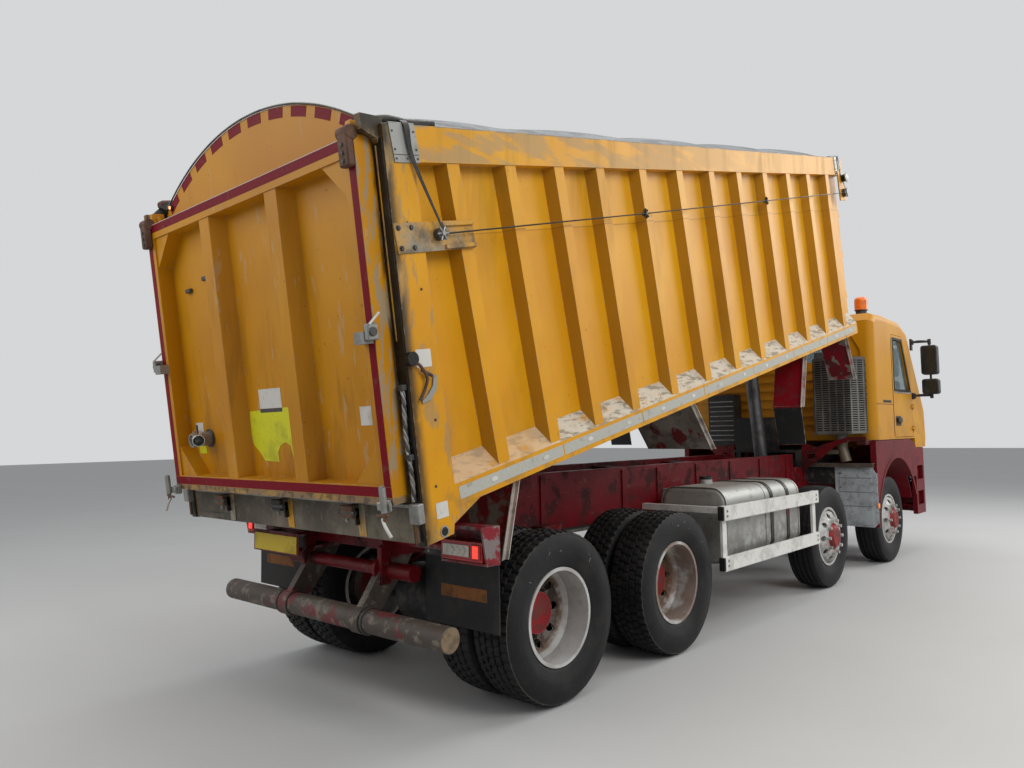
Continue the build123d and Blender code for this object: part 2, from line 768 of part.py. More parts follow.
# Cab shell: side profile made hollow, with door, window and windscreen openings
cab_profile = (
    (cab_back_x, cab_floor_z),
    (7330, cab_floor_z),
    (7330, 1370),
    (7800, 1370),
    (cab_front_x, 1500),
    (7790, 2010),
    (7200, 2880),
    (6900, cab_roof_z - 25),
    (6300, cab_roof_z),
    (5900, cab_roof_z - 10),
    (cab_back_x, cab_roof_z - 100),
)
door_opening = (
    (door_rear_x, door_bottom_z),
    (door_front_x, door_bottom_z),
    (door_front_x, window_bottom_z),
    (6930, 2790),
    (door_rear_x, 2790),
)
with BuildPart() as cab_shell:
    plate(side(cab_half_width), cab_profile, 2 * cab_half_width)
    back_corners = cab_shell.edges().filter_by(Axis.Z).group_by(Axis.X)[0]
    roof_sides = cab_shell.edges().filter_by(lambda edge: edge.center().Z > 2300 and abs(edge.tangent_at(0).Y) < 0.1)
    fillet(ShapeList(back_corners + roof_sides), cab_corner_radius)
    inner_profile = (
        (cab_back_x + cab_wall, cab_floor_z + cab_wall),
        (7330 + cab_wall, cab_floor_z + cab_wall),
        (7330 + cab_wall, 1370 + cab_wall),
        (7800 - cab_wall, 1370 + cab_wall),
        (cab_front_x - cab_wall, 1500),
        (7790 - cab_wall, 2000),
        (7175 - cab_wall, 2870 - cab_wall),
        (6890, cab_roof_z - 25 - cab_wall),
        (5900 + cab_wall, cab_roof_z - 10 - cab_wall),
        (cab_back_x + cab_wall, cab_roof_z - 110 - cab_wall),
    )
    plate(side(cab_half_width - cab_wall), inner_profile, 2 * (cab_half_width - cab_wall), Mode.SUBTRACT)
    plate(side(cab_half_width + 1), door_opening, 2 * cab_half_width + 2, Mode.SUBTRACT)
    # Windscreen opening, cut square to the slope of the glass
    screen_slope = atan2(870, -590)
    screen_foot = Vector(origin_x + 7790, 0, 2010)
    screen_up = Vector(cos(screen_slope), 0, sin(screen_slope))
    screen_out = Vector(sin(screen_slope), 0, -cos(screen_slope))
    screen_plane = Plane(origin=screen_foot + screen_out * 60, x_dir=(0, -1, 0), z_dir=-screen_out)
    with BuildSketch(screen_plane) as screen_hole:
        with Locations((0, 530)):
            RectangleRounded(2200, 900, 90)
    extrude(screen_hole.sketch, amount=180, mode=Mode.SUBTRACT)
    # Back window and pressed ribs on the back wall
    block(across(cab_back_x - 10), (-700, 700), (2450, 2760), 80, Mode.SUBTRACT)
    recess = (
        (-1090, 1600),
        (-1090, 2560),
        (-960, 2800),
        (-960, 2890),
        (960, 2890),
        (960, 2800),
        (1090, 2560),
        (1090, 1600),
    )
    plate(across(cab_back_x - 1), recess, 24, Mode.SUBTRACT)
    for rib_z in (1680, 1790, 1900, 2010, 2120, 2230, 2340):
        block(across(cab_back_x + 5), (-1020, 1020), (rib_z, rib_z + 45), 25)
    for rib_z, rib_y in ((2450, 990), (2560, 960), (2670, 930), (2780, 900)):
        for hand in (1, -1):
            block(across(cab_back_x + 5), (hand * 760, hand * rib_y), (rib_z, rib_z + 45), 25)
    # Hinges on the front door posts: two ears each, joined by the pin
    for hand in (1, -1):
        pin_y = hand * (cab_half_width + door_hinge_out)
        for hinge_z in door_hinge_z:
            disc(level(hinge_z - 30), (door_hinge_x, pin_y), door_pin_radius, 60)
            for ear_z in (hinge_z - 30, hinge_z + 18):
                disc(level(ear_z), (door_hinge_x, pin_y), door_knuckle_radius, 12)
                block(
                    level(ear_z),
                    (door_hinge_x, door_hinge_x + 40),
                    (hand * (cab_half_width - 1), pin_y + hand * door_knuckle_radius),
                    12,
                )
    # Grille slats
    for slat_z in (1430, 1520, 1610, 1700):
        block(across(cab_front_x - 60), (-820, 820), (slat_z, slat_z + 50), 78)
finish(cab_shell, "cab_shell")

# Cab glass: windscreen and back window
with BuildPart() as cab_glass:
    glass_plane = Plane(origin=screen_foot + screen_out * -12, x_dir=(0, -1, 0), z_dir=-screen_out)
    with BuildSketch(glass_plane) as screen:
        with Locations((0, 530)):
            RectangleRounded(2199, 899, 90)
    extrude(screen.sketch, amount=8)
    block(across(cab_back_x + 27), (-699.5, 699.5), (2450.5, 2759.5), 6)
finish(cab_glass, "cab_glass")

# Cab interior: two seats, dashboard and steering wheel
with BuildPart() as cab_interior:
    for hand in (1, -1):
        seat_middle = hand * 620
        seat_floor = cab_floor_z + cab_wall
        block(level(seat_floor), (6420, 6760), (seat_middle - 230, seat_middle + 230), 1829.5 - seat_floor)
        block(level(1830), (6330, 6860), (seat_middle - 250, seat_middle + 250), 130)
        block(level(1960.5), (6250, 6380), (seat_middle - 240, seat_middle + 240), 645)
    block(level(1750), (7330, 7744.5), (-1180, 1180), 250)
    block(level(cab_floor_z + cab_wall), (6500, 7400), (-300, 300), 200)
    steering_centre = Vector(origin_x + 7120, -620, 2080)
    wheel_tilt = Vector(-0.5, 0, 0.866)
    with BuildSketch(Plane(origin=steering_centre, z_dir=wheel_tilt)) as steering:
        Circle(225)
        Circle(198, mode=Mode.SUBTRACT)
        Rectangle(420, 30)
        Rectangle(30, 420)
    extrude(steering.sketch, amount=28)
    tube_between(tuple(steering_centre), (origin_x + 7420, -620, 1900), 40)
finish(cab_interior, "cab_interior")

# Mirrors on tube arms
with BuildPart() as mirrors:
    mirror_x = 7400
    mirror_y = -1450
    tube_between((origin_x + mirror_x, mirror_y, 2015), (origin_x + mirror_x, mirror_y, 2770), 14)
    for arm_z in (2040, 2745):
        tube_between((origin_x + 7330, -cab_half_width - 8, arm_z), (origin_x + mirror_x, mirror_y, arm_z), 11)
    block(across(mirror_x - 110), (-1556, -1364), (2310, 2690), 107)
    block(across(mirror_x - 110), (-1560, -1364), (2055, 2255), 107)
    fillet(mirrors.edges().filter_by(Axis.X).filter_by(lambda edge: abs(edge.length - 107) < 1), 34)
    fillet(mirrors.faces().filter_by(lambda face: abs(face.center().X - origin_x - mirror_x + 110) < 1).edges(), 12)
    block(side(-cab_half_width), (7285, 7360), (2000, 2080), 22)
    block(side(-cab_half_width), (7290, 7350), (2640, 2790), 22)
    mirror(about=Plane.XZ)
finish(mirrors, "mirrors")

# Doors: outer panel, window frame and inner trim as thick as the whole door
door_points = (
    (door_rear_x + door_gap, door_bottom_z + door_gap),
    (door_front_x - door_gap, door_bottom_z + door_gap),
    (door_front_x - door_gap, window_bottom_z),
    (6930 - door_gap, 2790 - door_gap),
    (door_rear_x + door_gap, 2790 - door_gap),
)
door_window = (
    (door_rear_x + 60, window_bottom_z + 30),
    (door_front_x - 70, window_bottom_z + 30),
    (6900, 2735),
    (door_rear_x + 60, 2735),
)
for hand_name, hand in (("right", -1), ("left", 1)):
    with BuildPart() as door:
        plate(side(hand * (cab_half_width - 25) + 25), door_points, 50)
        plate(side(hand * (cab_half_width - 25) + 30), door_window, 60, Mode.SUBTRACT)
        block(side(hand * (cab_half_width + 12) + 12), (6590, 6740), (1700, 1750), 24)
        pin_y = hand * (cab_half_width + door_hinge_out)
        for hinge_z in door_hinge_z:
            disc(level(hinge_z - 15), (door_hinge_x, pin_y), door_knuckle_radius, 30)
            block(
                level(hinge_z - 15),
                (door_hinge_x - 60, door_hinge_x - 4),
                (hand * (cab_half_width - 1), pin_y + hand * 6),
                30,
            )
            disc(
                level(hinge_z - 16),
                (door_hinge_x, pin_y),
                door_pin_radius + running_clearance,
                32,
                Mode.SUBTRACT,
            )
    finish(door, f"door_{hand_name}")
    with BuildPart() as door_glass:
        glass_points = (
            (door_rear_x + 61, window_bottom_z + 31),
            (door_front_x - 71.5, window_bottom_z + 31),
            (6899.5, 2734),
            (door_rear_x + 61, 2734),
        )
        plate(side(hand * (cab_half_width - 25) + 3), glass_points, 6)
    finish(door_glass, f"door_glass_{hand_name}")

# Body floor with its runners, cross bearers and hinge lugs
with BuildPart() as bed_floor:
    floor_front_a = headboard_foot_a - 80
    block(bed_level(floor_h), (gate_foot_a + 210, floor_front_a), (-skin_inner_y, skin_inner_y), floor_thickness)
    for hand in (1, -1):
        block(
            bed_side(hand * (rail_outer_y - 35) + 35),
            (-60, floor_front_a - 300),
            (runner_bottom_h, floor_h),
            70,
        )
        lug = (
            (-60, floor_h),
            (-60, 0),
            (0, -60),
            (60, 0),
            (190, runner_bottom_h),
            (190, floor_h),
        )
        plate(bed_side(hand * hinge_lug_y + 20), lug, 40)
        disc(bed_side(hand * hinge_lug_y + 25), (0, 0), hinge_shaft_radius + running_clearance, 50, Mode.SUBTRACT)
    for bearer in range(12):
        bearer_a = 60 + bearer * 520
        block(bed_across(bearer_a), (-skin_inner_y, skin_inner_y), (floor_h - 70, floor_h), 60)
    block(
        bed_level(runner_bottom_h - 1),
        (ram_well_foot_a, headboard_head_a),
        (-ram_well_half_width, ram_well_half_width),
        floor_h,
        Mode.SUBTRACT,
    )
finish(bed_floor, "bed_floor")

# Body sides: skin, hat ribs, shedder plates, top rail, bottom rail and rear post
post_foot_a = gate_foot_a + 30
for hand_name, hand in (("right", -1), ("left", 1)):
    with BuildPart() as bed_side_wall:
        skin_outline = (
            (post_foot_a + 110, rail_bottom_h),
            (headboard_foot_a, rail_bottom_h),
            (headboard_head_a, top_rail_top_h),
            (post_foot_a + 300, top_rail_top_h),
        )
        plate(bed_side(-skin_y + skin_thickness), skin_outline, skin_thickness)
        bottom_rail = (
            (-skin_y, rail_bottom_h),
            (-body_half_width, rail_bottom_h),
            (-body_half_width, rail_top_h),
            (-skin_y, shedder_top_h),
        )
        plate(bed_across(post_foot_a + 200), bottom_rail, headboard_foot_a - post_foot_a - 200)
        block(
            bed_side(-body_half_width + top_rail_width),
            (post_foot_a + 320, headboard_head_a),
            (top_rail_bottom_h, top_rail_top_h),
            top_rail_width,
        )
        for rib_a in rib_places:
            rib = (
                (rib_a - rib_foot / 2, -skin_y),
                (rib_a - rib_face / 2, -rib_outer_y),
                (rib_a + rib_face / 2, -rib_outer_y),
                (rib_a + rib_foot / 2, -skin_y),
            )
            plate(bed_level(rail_top_h - 20), rib, top_rail_bottom_h - rail_top_h + 40)
        post = (
            (gate_foot_a + 4, gate_foot_h),
            (gate_foot_a + 4 + post_width, gate_foot_h),
            (gate_foot_a + 4 + post_width + 60, rail_bottom_h + 60),
            (gate_foot_a + post_width + 200, top_rail_top_h),
            (gate_foot_a + 204, top_rail_top_h),
        )
        plate(bed_side(-skin_y + skin_thickness), post, body_half_width - skin_y + skin_thickness)
        gusset = (
            (gate_foot_a + 4 + post_width - 30, gate_foot_h + 30),
            (gate_foot_a + 4 + post_width + 250, rail_bottom_h + 5),
            (gate_foot_a + 4 + post_width - 10, rail_bottom_h + 5),
        )
        plate(bed_side(-body_half_width + 15), gusset, 12)
        # Hinge housing at the post's head with the tailgate's pin
        housing = (
            (30, gate_top_up - 160),
            (-12, gate_top_up - 20),
            (-gate_hinge_back - 45, gate_hinge_up - 30),
            (-gate_hinge_back - 45, gate_hinge_up + 45),
            (30, gate_hinge_up + 45),
        )
        plate(gate_slice(-gate_half_width - 8), housing, 40)
        disc(gate_slice(-gate_ear_y + 28), (-gate_hinge_back, gate_hinge_up), gate_pin_radius, 100)
        if hand > 0:
            mirror(about=Plane.XZ, mode=Mode.REPLACE)
    finish(bed_side_wall, f"bed_side_{hand_name}")

# Headboard with the well for the ram and the pin bracket
with BuildPart() as bed_headboard:
    inner_y = skin_inner_y
    lean = (headboard_head_a - headboard_foot_a) / (top_rail_top_h - rail_bottom_h)

    def wall_a(up):
        """Where the headboard's front face stands at a height."""
        return headboard_foot_a + lean * (up - rail_bottom_h)

    def well_a(up):
        """Where the well's back wall stands at a height: it leans to clear the raised ram."""
        share = (up - floor_h) / (top_rail_top_h - floor_h)
        return ram_well_foot_a + share * (ram_well_back_a - ram_well_foot_a)

    wall = (
        (wall_a(floor_h) - headboard_thickness, floor_h),
        (wall_a(floor_h), floor_h),
        (wall_a(top_rail_top_h), top_rail_top_h),
        (wall_a(top_rail_top_h) - headboard_thickness, top_rail_top_h),
    )
    plate(bed_side(inner_y), wall, 2 * inner_y)
    floor_edge = (
        (headboard_foot_a - 79, floor_h),
        (wall_a(floor_h), floor_h),
        (wall_a(floor_h), floor_h + floor_thickness),
        (headboard_foot_a - 79, floor_h + floor_thickness),
    )
    plate(bed_side(inner_y), floor_edge, 2 * inner_y)
    block(
        bed_level(floor_h - 1),
        (ram_well_back_a + 1, headboard_head_a + 10),
        (-ram_well_half_width, ram_well_half_width),
        top_rail_top_h,
        Mode.SUBTRACT,
    )
    for hand in (1, -1):
        cheek = (
            (well_a(floor_h + floor_thickness), floor_h + floor_thickness),
            (wall_a(floor_h), floor_h + floor_thickness),
            (wall_a(top_rail_top_h), top_rail_top_h),
            (ram_well_back_a, top_rail_top_h),
        )
        plate(bed_side(hand * (ram_well_half_width + 4) + 4), cheek, 8)
    well_back = (
        (well_a(floor_h + floor_thickness) - 8, floor_h + floor_thickness),
        (well_a(floor_h + floor_thickness), floor_h + floor_thickness),
        (ram_well_back_a, top_rail_top_h),
        (ram_well_back_a - 8, top_rail_top_h),
    )
    plate(bed_side(ram_well_half_width + 8), well_back, 2 * ram_well_half_width + 16)
    # Stiffeners across the front face
    for stiffener_h in (rail_bottom_h + 400, rail_bottom_h + 850, rail_bottom_h + 1300):
        for hand in (1, -1):
            block(
                bed_level(stiffener_h),
                (wall_a(stiffener_h) - 2, wall_a(stiffener_h) + 45),
                (hand * (ram_well_half_width + 8), hand * inner_y),
                90,
            )
    for hand in (1, -1):
        block(
            bed_side(hand * (body_half_width - top_rail_width / 2) + top_rail_width / 2),
            (headboard_foot_a - 400, headboard_head_a + 100),
            (top_rail_bottom_h, top_rail_top_h + 10),
            top_rail_width,
            Mode.SUBTRACT,
        )
    # Two cheeks stand each side of the ram's eye, clear of it
    for hand in (1, -1):
        cheek_plate = (
            (well_a(ram_pin_h - 160), ram_pin_h - 160),
            (ram_pin_a + 90, ram_pin_h - 40),
            (ram_pin_a + 90, ram_pin_h + 60),
            (well_a(ram_pin_h + 160), ram_pin_h + 160),
        )
        plate(bed_side(hand * 100 + 10), cheek_plate, 20)
finish(bed_headboard, "bed_headboard")

# Rear sill: the grey plate under the tailgate and its latch brackets
with BuildPart() as rear_sill:
    block(gate_plane(0), (-skin_y + skin_thickness + 0.3, skin_y - skin_thickness - 0.3), (5, sill_top_up), 10)
    for hook_y in (-700, 0, 700):
        block(gate_plane(45), (hook_y - 30, hook_y + 30), (sill_top_up - 90, sill_top_up - 20), 45)
    sill_floor = (
        (8, sill_top_up - 8),
        (8, sill_top_up + 8),
        (190, sill_top_up + 60),
        (190, sill_top_up + 44),
    )
    plate(gate_slice(skin_y - skin_thickness - 0.3), sill_floor, 2 * (skin_y - skin_thickness - 0.3))
finish(rear_sill, "rear_sill")

# Mud shields under the body, ahead of and behind the wheels
shield_table = (
    # foot along, foot up, head along, head up, inner y, outer y
    (186, -341, 393, 71, 560, 1190),
    (2716, -356, 2484, 82, 560, 1190),
    (4590, -413, 4830, 82, 870, 1190),
    (6190, -430, 6055, 82, 870, 1180),
)
with BuildPart() as mud_shields:
    for foot_a, foot_h, head_a, head_h, inner, outer in shield_table:
        shield = (
            (foot_a, foot_h),
            (foot_a + 6, foot_h),
            (head_a + 6, head_h),
            (head_a + 6, rail_bottom_h),
            (head_a, rail_bottom_h),
            (head_a, head_h),
        )
        flange = (
            (foot_a - 25, foot_h),
            (foot_a + 25, foot_h),
            (head_a + 25, head_h),
            (head_a + 40, rail_bottom_h),
            (head_a - 40, rail_bottom_h),
            (head_a - 25, head_h),
        )
        plate(bed_side(-inner), shield, outer - inner)
        block(bed_side(-inner), (head_a, head_a + 6), (rail_bottom_h, floor_h), skin_inner_y - inner)
        plate(bed_side(-outer + 30), flange, 6)
    flap_a = shield_table[2][0] - 8
    block(bed_across(flap_a), (-1160, -880), (-790, -400), 7)
    mirror(about=Plane.XZ)
finish(mud_shields, "mud_shields")

# Sheet hoops: the arched board over the tailgate and the bows that carry the sheet
bow_places = (700, 2080, 3460, 4840, 6200)
arch_chord = arch_half_width
arch_radius = (arch_chord**2 + arch_rise**2) / (2 * arch_rise)
with BuildPart() as sheet_hoops:
    with BuildSketch(gate_plane(-10)) as board:
        with BuildLine():
            ThreePointArc(
                (-arch_chord, arch_foot_up), (0, arch_foot_up + arch_rise), (arch_chord, arch_foot_up)
            )
            Line((arch_chord, arch_foot_up), (arch_chord, gate_top_up + 20))
            Line((arch_chord, gate_top_up + 20), (-arch_chord, gate_top_up + 20))
            Line((-arch_chord, gate_top_up + 20), (-arch_chord, arch_foot_up))
        make_face()
    extrude(board.sketch, amount=50)
    for bow_a in bow_places:
        with BuildSketch(bed_across(bow_a)) as bow:
            with BuildLine():
                ThreePointArc((-arch_chord, 2035), (0, 2035 + arch_rise), (arch_chord, 2035))
                ThreePointArc((-arch_chord + 45, 2035), (0, 1990 + arch_rise), (arch_chord - 45, 2035))
                Line((-arch_chord, 2035), (-arch_chord + 45, 2035))
                Line((arch_chord, 2035), (arch_chord - 45, 2035))
            make_face()
        extrude(bow.sketch, amount=40)
        for hand in (1, -1):
            block(bed_across(bow_a), (hand * (arch_chord - 45), hand * (arch_chord + 60)), (2028, 2036), 40)
finish(sheet_hoops, "sheet_hoops")

# Load sheet over the bows: a thin closed arch
sheet_clear = 1
sheet_crown_h = 2044 + arch_rise
board_up = (sheet_crown_h - gate_foot_h + 60 * sin(radians(gate_rake))) / cos(radians(gate_rake))
sheet_rear_a = gate_foot_a + board_up * sin(radians(gate_rake)) + 60 * cos(radians(gate_rake)) + 0.3
with BuildPart() as load_sheet:
    with BuildSketch(bed_across(sheet_rear_a)) as cover:
        with BuildLine():
            ThreePointArc(
                (-arch_chord - sheet_clear, 2037), (0, 2036 + arch_rise), (arch_chord + sheet_clear, 2037)
            )
            ThreePointArc((-arch_chord - 8, 2037), (0, 2044 + arch_rise), (arch_chord + 8, 2037))
            Line((-arch_chord - sheet_clear, 2037), (-arch_chord - 8, 2037))
            Line((arch_chord + sheet_clear, 2037), (arch_chord + 8, 2037))
        make_face()
    extrude(cover.sketch, amount=headboard_head_a - 50 - sheet_rear_a)
finish(load_sheet, "load_sheet")

# Sheet fittings on the right side: cable bracket plates, pulleys and the front winch
with BuildPart() as sheet_fittings:
    plate(bed_side(-body_half_width - 0.3), ((-260, 1390), (290, 1390), (290, 1540), (-260, 1540)), 8)
    disc(bed_side(-body_half_width - 8), (20, 1470), 28, 30)
    plate(
        bed_side(-body_half_width - 0.3),
        ((6150, 1560), (6330, 1560), (6330, 1700), (6250, 1860), (6150, 1860)),
        8,
    )
    disc(bed_side(-body_half_width - 8), (6240, 1640), 35, 40)
finish(sheet_fittings, "sheet_fittings")

# Tailgate: skin, deep frame, two ribs and corner gussets
frame_in = gate_half_width - gate_frame_width
with BuildPart() as tailgate:
    skin_behind = gate_gap + gate_skin
    block(gate_plane(skin_behind), (-gate_half_width, gate_half_width), (gate_bottom_up, gate_top_up), gate_skin)
    with BuildSketch(gate_plane(gate_depth)) as frame_outline:
        with Locations((0, (gate_bottom_up + gate_top_up) / 2)):
            Rectangle(2 * gate_half_width, gate_top_up - gate_bottom_up)
            Rectangle(2 * frame_in, gate_top_up - gate_bottom_up - 2 * gate_frame_width, mode=Mode.SUBTRACT)
    extrude(frame_outline.sketch, amount=gate_depth - gate_gap)
    for rib_y in gate_rib_y:
        rib = (
            (rib_y - gate_rib_foot / 2, skin_behind),
            (rib_y - gate_rib_face / 2, gate_depth - 6),
            (rib_y + gate_rib_face / 2, gate_depth - 6),
            (rib_y + gate_rib_foot / 2, skin_behind),
        )
        rib_foot_point = Vector(origin_x, 0, 0) + gate_foot + gate_up * (gate_bottom_up + 40)
        rib_plane = Plane(origin=rib_foot_point, x_dir=(0, 1, 0), z_dir=gate_up)
        plate(rib_plane, rib, gate_top_up - gate_bottom_up - 80)
    for hand in (1, -1):
        for corner_up, up_sign in ((gate_bottom_up + gate_frame_width, 1), (gate_top_up - gate_frame_width, -1)):
            corner = (
                (hand * (frame_in + 1), corner_up - up_sign),
                (hand * (frame_in - gusset_reach), corner_up - up_sign),
                (hand * (frame_in + 1), corner_up + up_sign * gusset_reach),
            )
            plate(gate_plane(gate_depth - 10), corner, gate_depth - 10 - skin_behind)
        ear = (
            (-gate_depth + 4, gate_top_up - 10),
            (-gate_gap - 4, gate_top_up - 10),
            (-gate_hinge_back + 38, gate_hinge_up + 36),
            (-gate_hinge_back - 38, gate_hinge_up + 36),
        )
        plate(gate_slice(hand * gate_ear_y + 20), ear, 40)
        disc(
            gate_slice(hand * gate_ear_y + 25),
            (-gate_hinge_back, gate_hinge_up),
            gate_pin_radius + running_clearance,
            50,
            Mode.SUBTRACT,
        )
finish(tailgate, "tailgate")

# Tailgate fittings: hinge pins, clamps and the little spout
with BuildPart() as tailgate_fittings:
    spout = gate_plane(skin_behind + 130)
    with BuildSketch(spout) as spout_outline:
        with Locations((820, 560)):
            Circle(45)
            Circle(37, mode=Mode.SUBTRACT)
    extrude(spout_outline.sketch, amount=130)
    for hand in (1, -1):
        block(gate_plane(gate_depth + 60), (hand * 1085, hand * 1165), (1020, 1080), 60)
finish(tailgate_fittings, "tailgate_fittings")

# Telescopic ram: barrel and three stages along the line from its foot to its pin
ram_foot = Vector(origin_x + ram_foot_x, 0, ram_foot_z)
ram_pin = bed_point(ram_pin_a, 0, ram_pin_h)
ram_line = ram_pin - ram_foot
closed_length = pivot_z + ram_pin_h - ram_foot_z
stage_out = (ram_line.length - closed_length) / 3
ram_axis = ram_line.normalized()
ram_plane = Plane(origin=ram_foot, x_dir=(0, 1, 0), z_dir=ram_axis)
tube_gap = 0.5
wall_thickness = 8


def ram_tube(start, end, outer, inner):
    """A length of ram tube, hollow where inner is above zero."""
    with BuildSketch(ram_plane.offset(start)) as ring:
        Circle(outer)
        if inner > 0:
            Circle(inner, mode=Mode.SUBTRACT)
    extrude(ring.sketch, amount=end - start)


with BuildPart() as ram_barrel:
    ram_tube(60, 90, ram_radii[0], 0)
    ram_tube(90, ram_tube_length, ram_radii[0], ram_radii[1] + tube_gap)
    ram_tube(-30, 60, 45, 0)
    disc(side(60), (ram_foot_x, ram_foot_z), 25 + running_clearance, 120, Mode.SUBTRACT)
finish(ram_barrel, "ram_barrel")
for stage in (1, 2, 3):
    shift = stage * stage_out
    start = 100 + stage * 10
    end = ram_tube_length + stage * ram_step
    outer = ram_radii[stage]
    inner = ram_radii[stage + 1] + tube_gap if stage < 3 else 0
    with BuildPart() as ram_stage:
        ram_tube(start + shift, end + shift, outer, inner)
        if stage == 3:
            ram_tube(end + shift, ram_line.length + 55, 38, 0)
            tube_between(tuple(ram_pin - Vector(0, 80, 0)), tuple(ram_pin + Vector(0, 80, 0)), 28)
    finish(ram_stage, f"ram_stage_{stage}")

# Wheels: rear twins and steered front wheels, each a tyre node and a rim node
for axle_number, axle_x in ((3, axle_3_x), (4, axle_4_x)):
    for hand_name, hand in (("right", -1), ("left", 1)):
        with BuildPart() as tyres:
            tyre(axle_x, hand * rear_outer_tyre_y)
            tyre(axle_x, hand * rear_inner_tyre_y)
        finish(tyres, f"tyres_{axle_number}_{hand_name}")
        with BuildPart() as rims:
            rim(axle_x, hand * rear_outer_tyre_y, hand, -hand)
            rim(axle_x, hand * rear_inner_tyre_y, hand, hand)
            middle_y = rear_outer_tyre_y - disc_offset
            turned(
                axle_x,
                (
                    (hand * (middle_y - 240), spindle_radius),
                    (hand * (middle_y - 240), 190),
                    (hand * (middle_y - 13), 190),
                    (hand * (middle_y - 13), hub_radius),
                    (hand * (middle_y + 95), hub_radius),
                    (hand * (middle_y + 110), 0),
                    (hand * (middle_y - 150), 0),
                    (hand * (middle_y - 150), spindle_radius),
                ),
            )
            studs(axle_x, hand * (middle_y + disc_thickness - 1), hand, 40)
        finish(rims, f"rims_{axle_number}_{hand_name}")
for axle_number, axle_x in ((1, axle_1_x), (2, axle_2_x)):
    for hand_name, hand in (("right", -1), ("left", 1)):
        with BuildPart() as front_tyre:
            tyre(axle_x, hand * front_tyre_y)
        finish(front_tyre, f"tyre_{axle_number}_{hand_name}")
        face_y = front_tyre_y + disc_offset
        with BuildPart() as front_rim:
            rim(axle_x, hand * front_tyre_y, hand, hand)
            turned(
                axle_x,
                (
                    (hand * (face_y - 150), stub_radius + running_clearance),
                    (hand * (face_y - 150), 190),
                    (hand * (face_y - 13), 190),
                    (hand * (face_y - 13), hub_radius),
                    (hand * (face_y + 20), 110),
                    (hand * (face_y + 40), 90),
                    (hand * (face_y + 40), 0),
                    (hand * (face_y - 40), 0),
                    (hand * (face_y - 40), stub_radius + running_clearance),
                ),
            )
            studs(axle_x, hand * (face_y - 1), hand, 38)
        finish(front_rim, f"rim_{axle_number}_{hand_name}")
        with BuildPart() as knuckle:
            disc(level(hub_z - 130), (axle_x, hand * kingpin_y), kingpin_radius, 260)
            for ear_z in (hub_z - 130, hub_z + 66):
                disc(level(ear_z), (axle_x, hand * kingpin_y), 45, 64)
            block(
                across(axle_x - 45),
                (hand * (kingpin_y + 60), hand * (kingpin_y + 105)),
                (hub_z - 120, hub_z + 120),
                90,
            )
            for ear_z in (hub_z - 120, hub_z + 66):
                block(
                    level(ear_z),
                    (axle_x - 40, axle_x + 40),
                    (hand * kingpin_y, hand * (kingpin_y + 80)),
                    54,
                )
            tube_between(
                (origin_x + axle_x, hand * (kingpin_y + 80), hub_z),
                (origin_x + axle_x, hand * (face_y - 45), hub_z),
                stub_radius,
            )
        finish(knuckle, f"knuckle_{axle_number}_{hand_name}")
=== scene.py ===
import json
import math
import random

import bmesh
import bpy
import numpy as np
from mathutils import Matrix, Vector, noise


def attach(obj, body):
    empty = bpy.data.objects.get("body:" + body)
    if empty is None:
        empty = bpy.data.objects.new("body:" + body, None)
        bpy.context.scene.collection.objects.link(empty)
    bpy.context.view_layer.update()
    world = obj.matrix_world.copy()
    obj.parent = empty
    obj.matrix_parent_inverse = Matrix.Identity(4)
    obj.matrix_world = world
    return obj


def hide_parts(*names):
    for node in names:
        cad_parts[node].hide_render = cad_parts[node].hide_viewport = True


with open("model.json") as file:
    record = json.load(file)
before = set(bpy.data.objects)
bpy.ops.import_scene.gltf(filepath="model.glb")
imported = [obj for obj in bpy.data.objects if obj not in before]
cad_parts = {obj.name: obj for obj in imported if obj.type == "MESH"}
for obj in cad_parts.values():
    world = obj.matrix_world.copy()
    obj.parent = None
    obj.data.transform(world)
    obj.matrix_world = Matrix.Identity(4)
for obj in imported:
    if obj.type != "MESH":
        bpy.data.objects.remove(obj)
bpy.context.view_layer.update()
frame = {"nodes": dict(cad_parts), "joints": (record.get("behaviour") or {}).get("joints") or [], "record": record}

# Looks of a four-axle tipper truck with a ribbed bulk body, standing half tipped.
# Metres, in the row frame: +X forward, +Y left, +Z up. Lengths along the truck are
# measured from the rearmost axle, as in the part.
random.seed(7)

# Main places, taken from the frame where it gives them
joint_place = {joint["name"]: joint.get("pos_m") for joint in frame["joints"]}
pivot = Vector(joint_place["tip"])
rear_axle_x = joint_place["wheels_4_right_spin"][0]
axle_x = {
    1: joint_place["wheel_1_right_spin"][0],
    2: joint_place["wheel_2_right_spin"][0],
    3: joint_place["wheels_3_right_spin"][0],
    4: rear_axle_x,
}
hub_z = joint_place["wheels_4_right_spin"][2]
twin_outer_y, twin_inner_y, front_tyre_y = 1.047, 0.727, 1.018
bed_tilt = math.radians(13.0)
gate_rake = math.radians(5.5)
half_width = 1.25
bed_along = Vector((math.cos(bed_tilt), 0, math.sin(bed_tilt)))
bed_up = Vector((-math.sin(bed_tilt), 0, math.cos(bed_tilt)))
left = Vector((0, 1, 0))


def places(origin, forward, up):
    """A matrix from local (forward, left, up) metres to the row frame."""
    matrix = Matrix((forward, left, up)).transposed().to_4x4()
    matrix.translation = origin
    return matrix


TRUCK = places(Vector((rear_axle_x, 0, 0)), Vector((1, 0, 0)), Vector((0, 0, 1)))
BED = places(pivot, bed_along, bed_up)
gate_up = bed_along * math.sin(gate_rake) + bed_up * math.cos(gate_rake)
gate_forward = bed_along * math.cos(gate_rake) - bed_up * math.sin(gate_rake)
GATE = places(BED @ Vector((-0.415, 0, -0.043)), gate_forward, gate_up)


